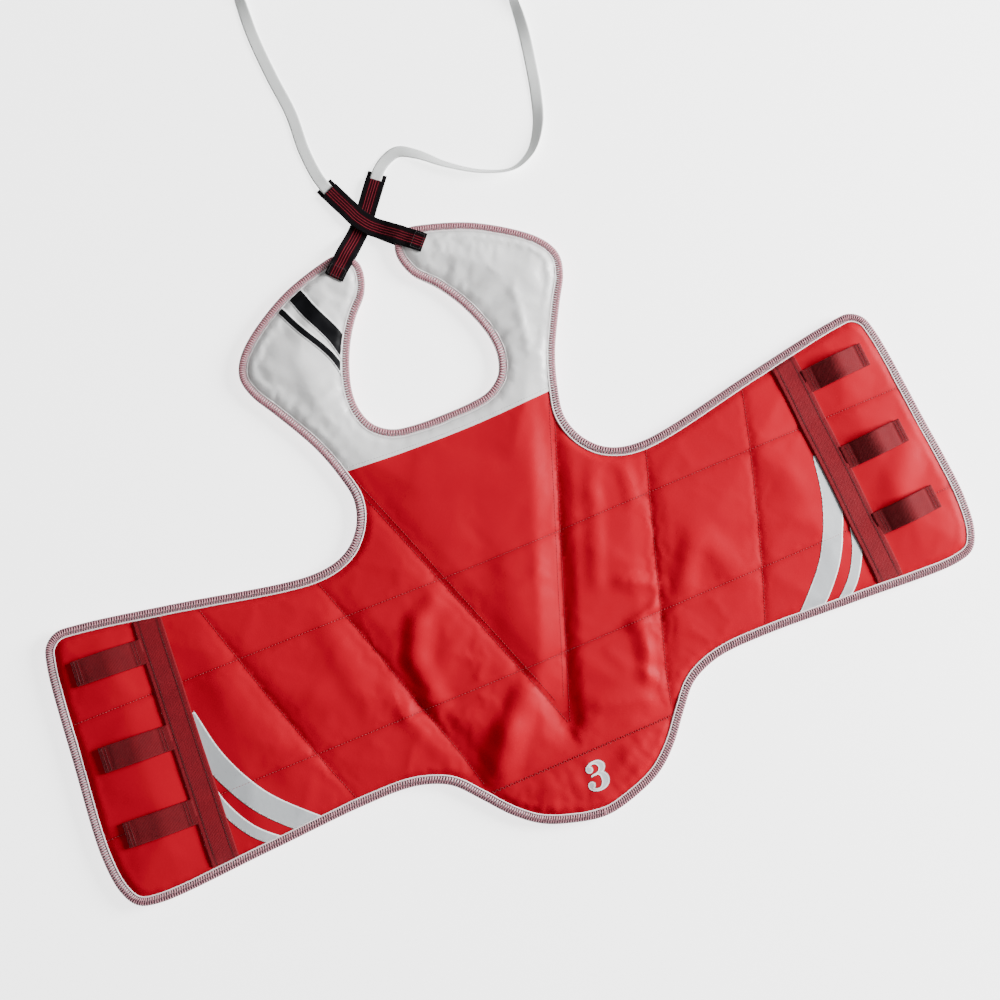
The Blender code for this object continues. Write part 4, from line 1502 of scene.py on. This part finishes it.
def make_elastic_stitches(side, path):
    """The box of stitches that holds the front layer on the shoulder tip."""
    way = path[8, :2] - path[0, :2]
    way /= np.linalg.norm(way)
    across = np.array([-way[1], way[0]])
    start = path[0, :2]
    top = strap_top(start, way, lengths_along(path), path[:, 2], ELASTIC_THICK / 2)
    corners = [start + way * a + across * b for a, b in ((2, -8), (2, 8), (12, 8), (12, -8), (2, -8))]
    rows = []
    for a, b in zip(corners, corners[1:]):
        rows += dashes(np.array([a, b]), top, pitch=2.2, length=1.7, proud=0.28)
    stitches = tubes(rows, ELASTIC_STITCH)
    sewn = piece(f"elastic_stitches_{side}", stitches, ELASTIC_THREAD, "neck_elastic")
    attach(sewn, f"shoulder_{side}")


for side, sign in SIDES:
    for layer in ("front", "back"):
        route = make_elastic(side, sign, layer)
        if layer == "front":
            make_elastic_stitches(side, route)


# ---------------------------------------------------------------- printed films

FILM_LIFT, FILM_SIDE = 0.14, 0.3  # above the cover, and how far its rim is turned down


def film(name, field, box, step, outer, finish, slot):
    """A printed film on the front cover: the patch of box where field is below outer. field gives
    each point's signed distance from the edge of the mark, in millimetres."""
    x0, x1, y0, y1 = box
    nx, ny = int((x1 - x0) / step), int((y1 - y0) / step)
    xs, ys = np.linspace(x0, x1, nx + 1), np.linspace(y0, y1, ny + 1)
    grid = np.stack(np.meshgrid(xs, ys), -1).reshape(-1, 2)
    i, j = np.meshgrid(np.arange(ny), np.arange(nx), indexing="ij")
    a = i * (nx + 1) + j
    quads = np.stack([a, a + 1, a + nx + 2, a + nx + 1], -1).reshape(-1, 4)
    value = field(grid)
    quads = quads[value[quads].mean(1) < outer]
    used, index = np.unique(quads, return_inverse=True)
    quads, spots, value = index.reshape(-1, 4), grid[used], value[used]
    edges = rim_edges(quads)
    rim, lower = points_below(len(spots), edges)
    tiny = 0.05
    for _ in range(4):  # pull the rim on to the mark's true edge
        here = field(spots[rim])
        nudged = [field(spots[rim] + step_) for step_ in ([tiny, 0], [0, tiny])]
        slope = (np.stack(nudged, 1) - here[:, None]) / tiny
        size = np.maximum((slope ** 2).sum(1), 0.2)
        move = slope * ((outer - here) / size)[:, None]
        far = np.linalg.norm(move, axis=1)
        spots[rim] += move * np.minimum(1, 0.8 * step / np.maximum(far, 1e-9))[:, None]
    ink = field(spots)
    height = np.array([front_height(*p) for p in spots]) + FILM_LIFT
    points = np.vstack([
        np.column_stack([spots, height]), np.column_stack([spots[rim], height[rim] - FILM_SIDE]),
    ])
    values = {"ink": np.concatenate([ink, ink[rim]])}
    shape = Shape(points, np.vstack([quads, wall_quads(edges, lower)]), values)
    shape = refined(shape, levels=0)
    for region, part in split_by_region(shape).items():
        label = f"{name}_root" if region.startswith("root") else name
        fitted(label, part, finish, slot, region)


def stripe_field(curve, half_width, taper):
    """The signed distance from a stripe that narrows to a point over its first taper millimetres."""
    line = centripetal(curve, 1.5)
    marks = lengths_along(line)

    def field(points):
        gaps = np.linalg.norm(points[:, None] - line[None], axis=2)
        nearest = gaps.argmin(1)
        width = half_width * np.minimum(1, marks[nearest] / taper) ** 0.8
        return gaps[np.arange(len(points)), nearest] - width

    return field


def under_binding(points):
    """Positive where the binding covers the front."""
    return BIND_WIDTH - 0.6 - edge_gap(points)


WING_STRIPES = [
    ([(345, -88), (333, -140), (308, -190), (262, -240)], 9.5, 1.0),
    ([(352, -140), (344, -178), (326, -213), (297, -242)], 4.2, 1.0),
]
SHOULDER_STRIPES = [
    ([(-96, 276), (-85, 240), (-70, 206), (-62, 172)], 7.6, 1.0),
    ([(-116, 262), (-100, 225), (-80, 188), (-72, 150)], 3.0, 1.0),
]
STRIPE_RIM, NUMERAL_RIM = 1.55, 1.75


def make_stripes():
    for side, sign in SIDES:
        _, out, corner = strip_ways(sign)
        for i, (curve, half, taper) in enumerate(WING_STRIPES):
            stripe = stripe_field(on_side(curve, sign), half, taper)

            def field(points, stripe=stripe):
                """The stripe, cut off under the binding and the webbing strip."""
                under_strip = (points - corner) @ out - 2.0
                return np.maximum.reduce([stripe(points), under_binding(points), under_strip])

            xs = [sign * x for x, _ in curve]
            box = (min(xs) - 14, max(xs) + 14, -246, curve[0][1] + 4)
            film(f"stripe_{side}_{i}", field, box, 1.3, STRIPE_RIM, GREY_PRINT, "red_leatherette")
    for i, (curve, half, taper) in enumerate(SHOULDER_STRIPES):
        stripe = stripe_field(curve, half, taper)
        xs, ys = zip(*curve)
        box = (min(xs) - 10, max(xs) + 10, min(ys) - 4, max(ys) + 4)
        film(
            f"stripe_shoulder_{i}", lambda p, s=stripe: np.maximum(s(p), under_binding(p)), box,
            1.3, STRIPE_RIM, BLACK_PRINT, "white_leatherette",
        )


NUMERAL_PLACE = (5.0, -297.5)
# The numeral's strokes: x, y and half width, in millimetres from its middle.
NUMERAL_STROKES = [
    [(-5.3, 8.7, 2.4), (-6.4, 10.8, 0.7), (-2.4, 13.5, 0.2), (1.6, 13.7, 0.4), (5.1, 12.2, 1.4),
     (7.4, 8.8, 2.2), (6.8, 5.8, 1.9), (4.4, 3.7, 1.0), (1.5, 2.7, 0.1), (-2.2, 2.5, -0.2),
     (-5.3, 2.1, -0.2)],
    [(1.5, 2.7, 0.2), (4.9, 0.6, 1.5), (6.4, -3.3, 2.5), (5.9, -7.1, 2.6), (3.4, -10.3, 1.8),
     (-0.8, -12.3, 0.6), (-5.2, -12.1, 0.3), (-8.7, -10.2, 0.6), (-9.8, -7.6, 1.3),
     (-8.6, -6.0, 2.4)],
]


def numeral_field(points):
    """The signed distance from a bold figure three, drawn with round strokes."""
    best = np.full(len(points), 1e3)
    for stroke in NUMERAL_STROKES:
        line = centripetal(stroke, 0.35)
        gaps = np.linalg.norm(points[:, None] - (line[None, :, :2] + NUMERAL_PLACE), axis=2)
        best = np.minimum(best, (gaps - line[None, :, 2]).min(1))
    return best


def make_numeral():
    x, y = NUMERAL_PLACE
    box = (x - 15, x + 13, y - 18, y + 19)
    film("numeral", numeral_field, box, 0.5, NUMERAL_RIM, GREY_PRINT, "red_leatherette")


make_stripes()
make_numeral()


# ---------------------------------------------------------------- floor and light

SKY, BACKDROP = 0.26, 1.1  # the world's strength as a light, and as the camera sees it
FLOOR_HALF, FLOOR_DROP, FLOOR_GLOW = 15.0, 0.0004, 2.6
KEY_PLACE = (2.9, -0.35, 1.4)
KEY_POWER, KEY_SIZE = 365.0, 1.5
FILL_PLACE = (-1.4, -0.6, 1.6)
FILL_POWER, FILL_SIZE = 2.0, 1.6


def make_stage():
    mesh = bpy.data.meshes.new("floor")
    corners = [(x * FLOOR_HALF, y * FLOOR_HALF, 0) for x, y in ((-1, -1), (1, -1), (1, 1), (-1, 1))]
    mesh.from_pydata(corners, [], [(0, 1, 2, 3)])
    f = Finish("floor", 0.9, specular=0.1)
    position = f.node("NewGeometry", output="Position")
    f.set("Base Color", f.mix(f.noise(3.0, 2.0, position), (0.93, 0.93, 0.93), (0.95, 0.95, 0.95)))
    f.set("Emission Color", (1.0, 1.0, 1.0, 1.0))
    f.set("Emission Strength", FLOOR_GLOW)
    mesh.materials.append(f.material)
    floor = linked("floor", mesh)
    floor.location.z = -FLOOR_DROP


def area_light(name, place, size, power):
    """A square light that points at the vest."""
    data = bpy.data.lights.new(name, "AREA")
    data.size = size
    data.energy = power
    light = linked(name, data)
    light.location = place
    light.rotation_euler = (-Vector(place)).to_track_quat("-Z", "Y").to_euler()


def make_light():
    sky = bpy.data.worlds.new("studio")
    sky.use_nodes = True
    nodes, links = sky.node_tree.nodes, sky.node_tree.links
    backdrop = nodes["Background"]
    backdrop.inputs["Color"].default_value = (1, 1, 1, 1)
    # A pale wall behind the floor, while the light from it stays soft.
    seen, level = nodes.new("ShaderNodeLightPath"), nodes.new("ShaderNodeMath")
    level.operation = "MULTIPLY_ADD"
    level.inputs[1].default_value = BACKDROP - SKY
    level.inputs[2].default_value = SKY
    links.new(seen.outputs["Is Camera Ray"], level.inputs[0])
    links.new(level.outputs[0], backdrop.inputs["Strength"])
    bpy.context.scene.world = sky
    area_light("key", KEY_PLACE, KEY_SIZE, KEY_POWER)
    area_light("fill", FILL_PLACE, FILL_SIZE, FILL_POWER)


make_stage()
make_light()
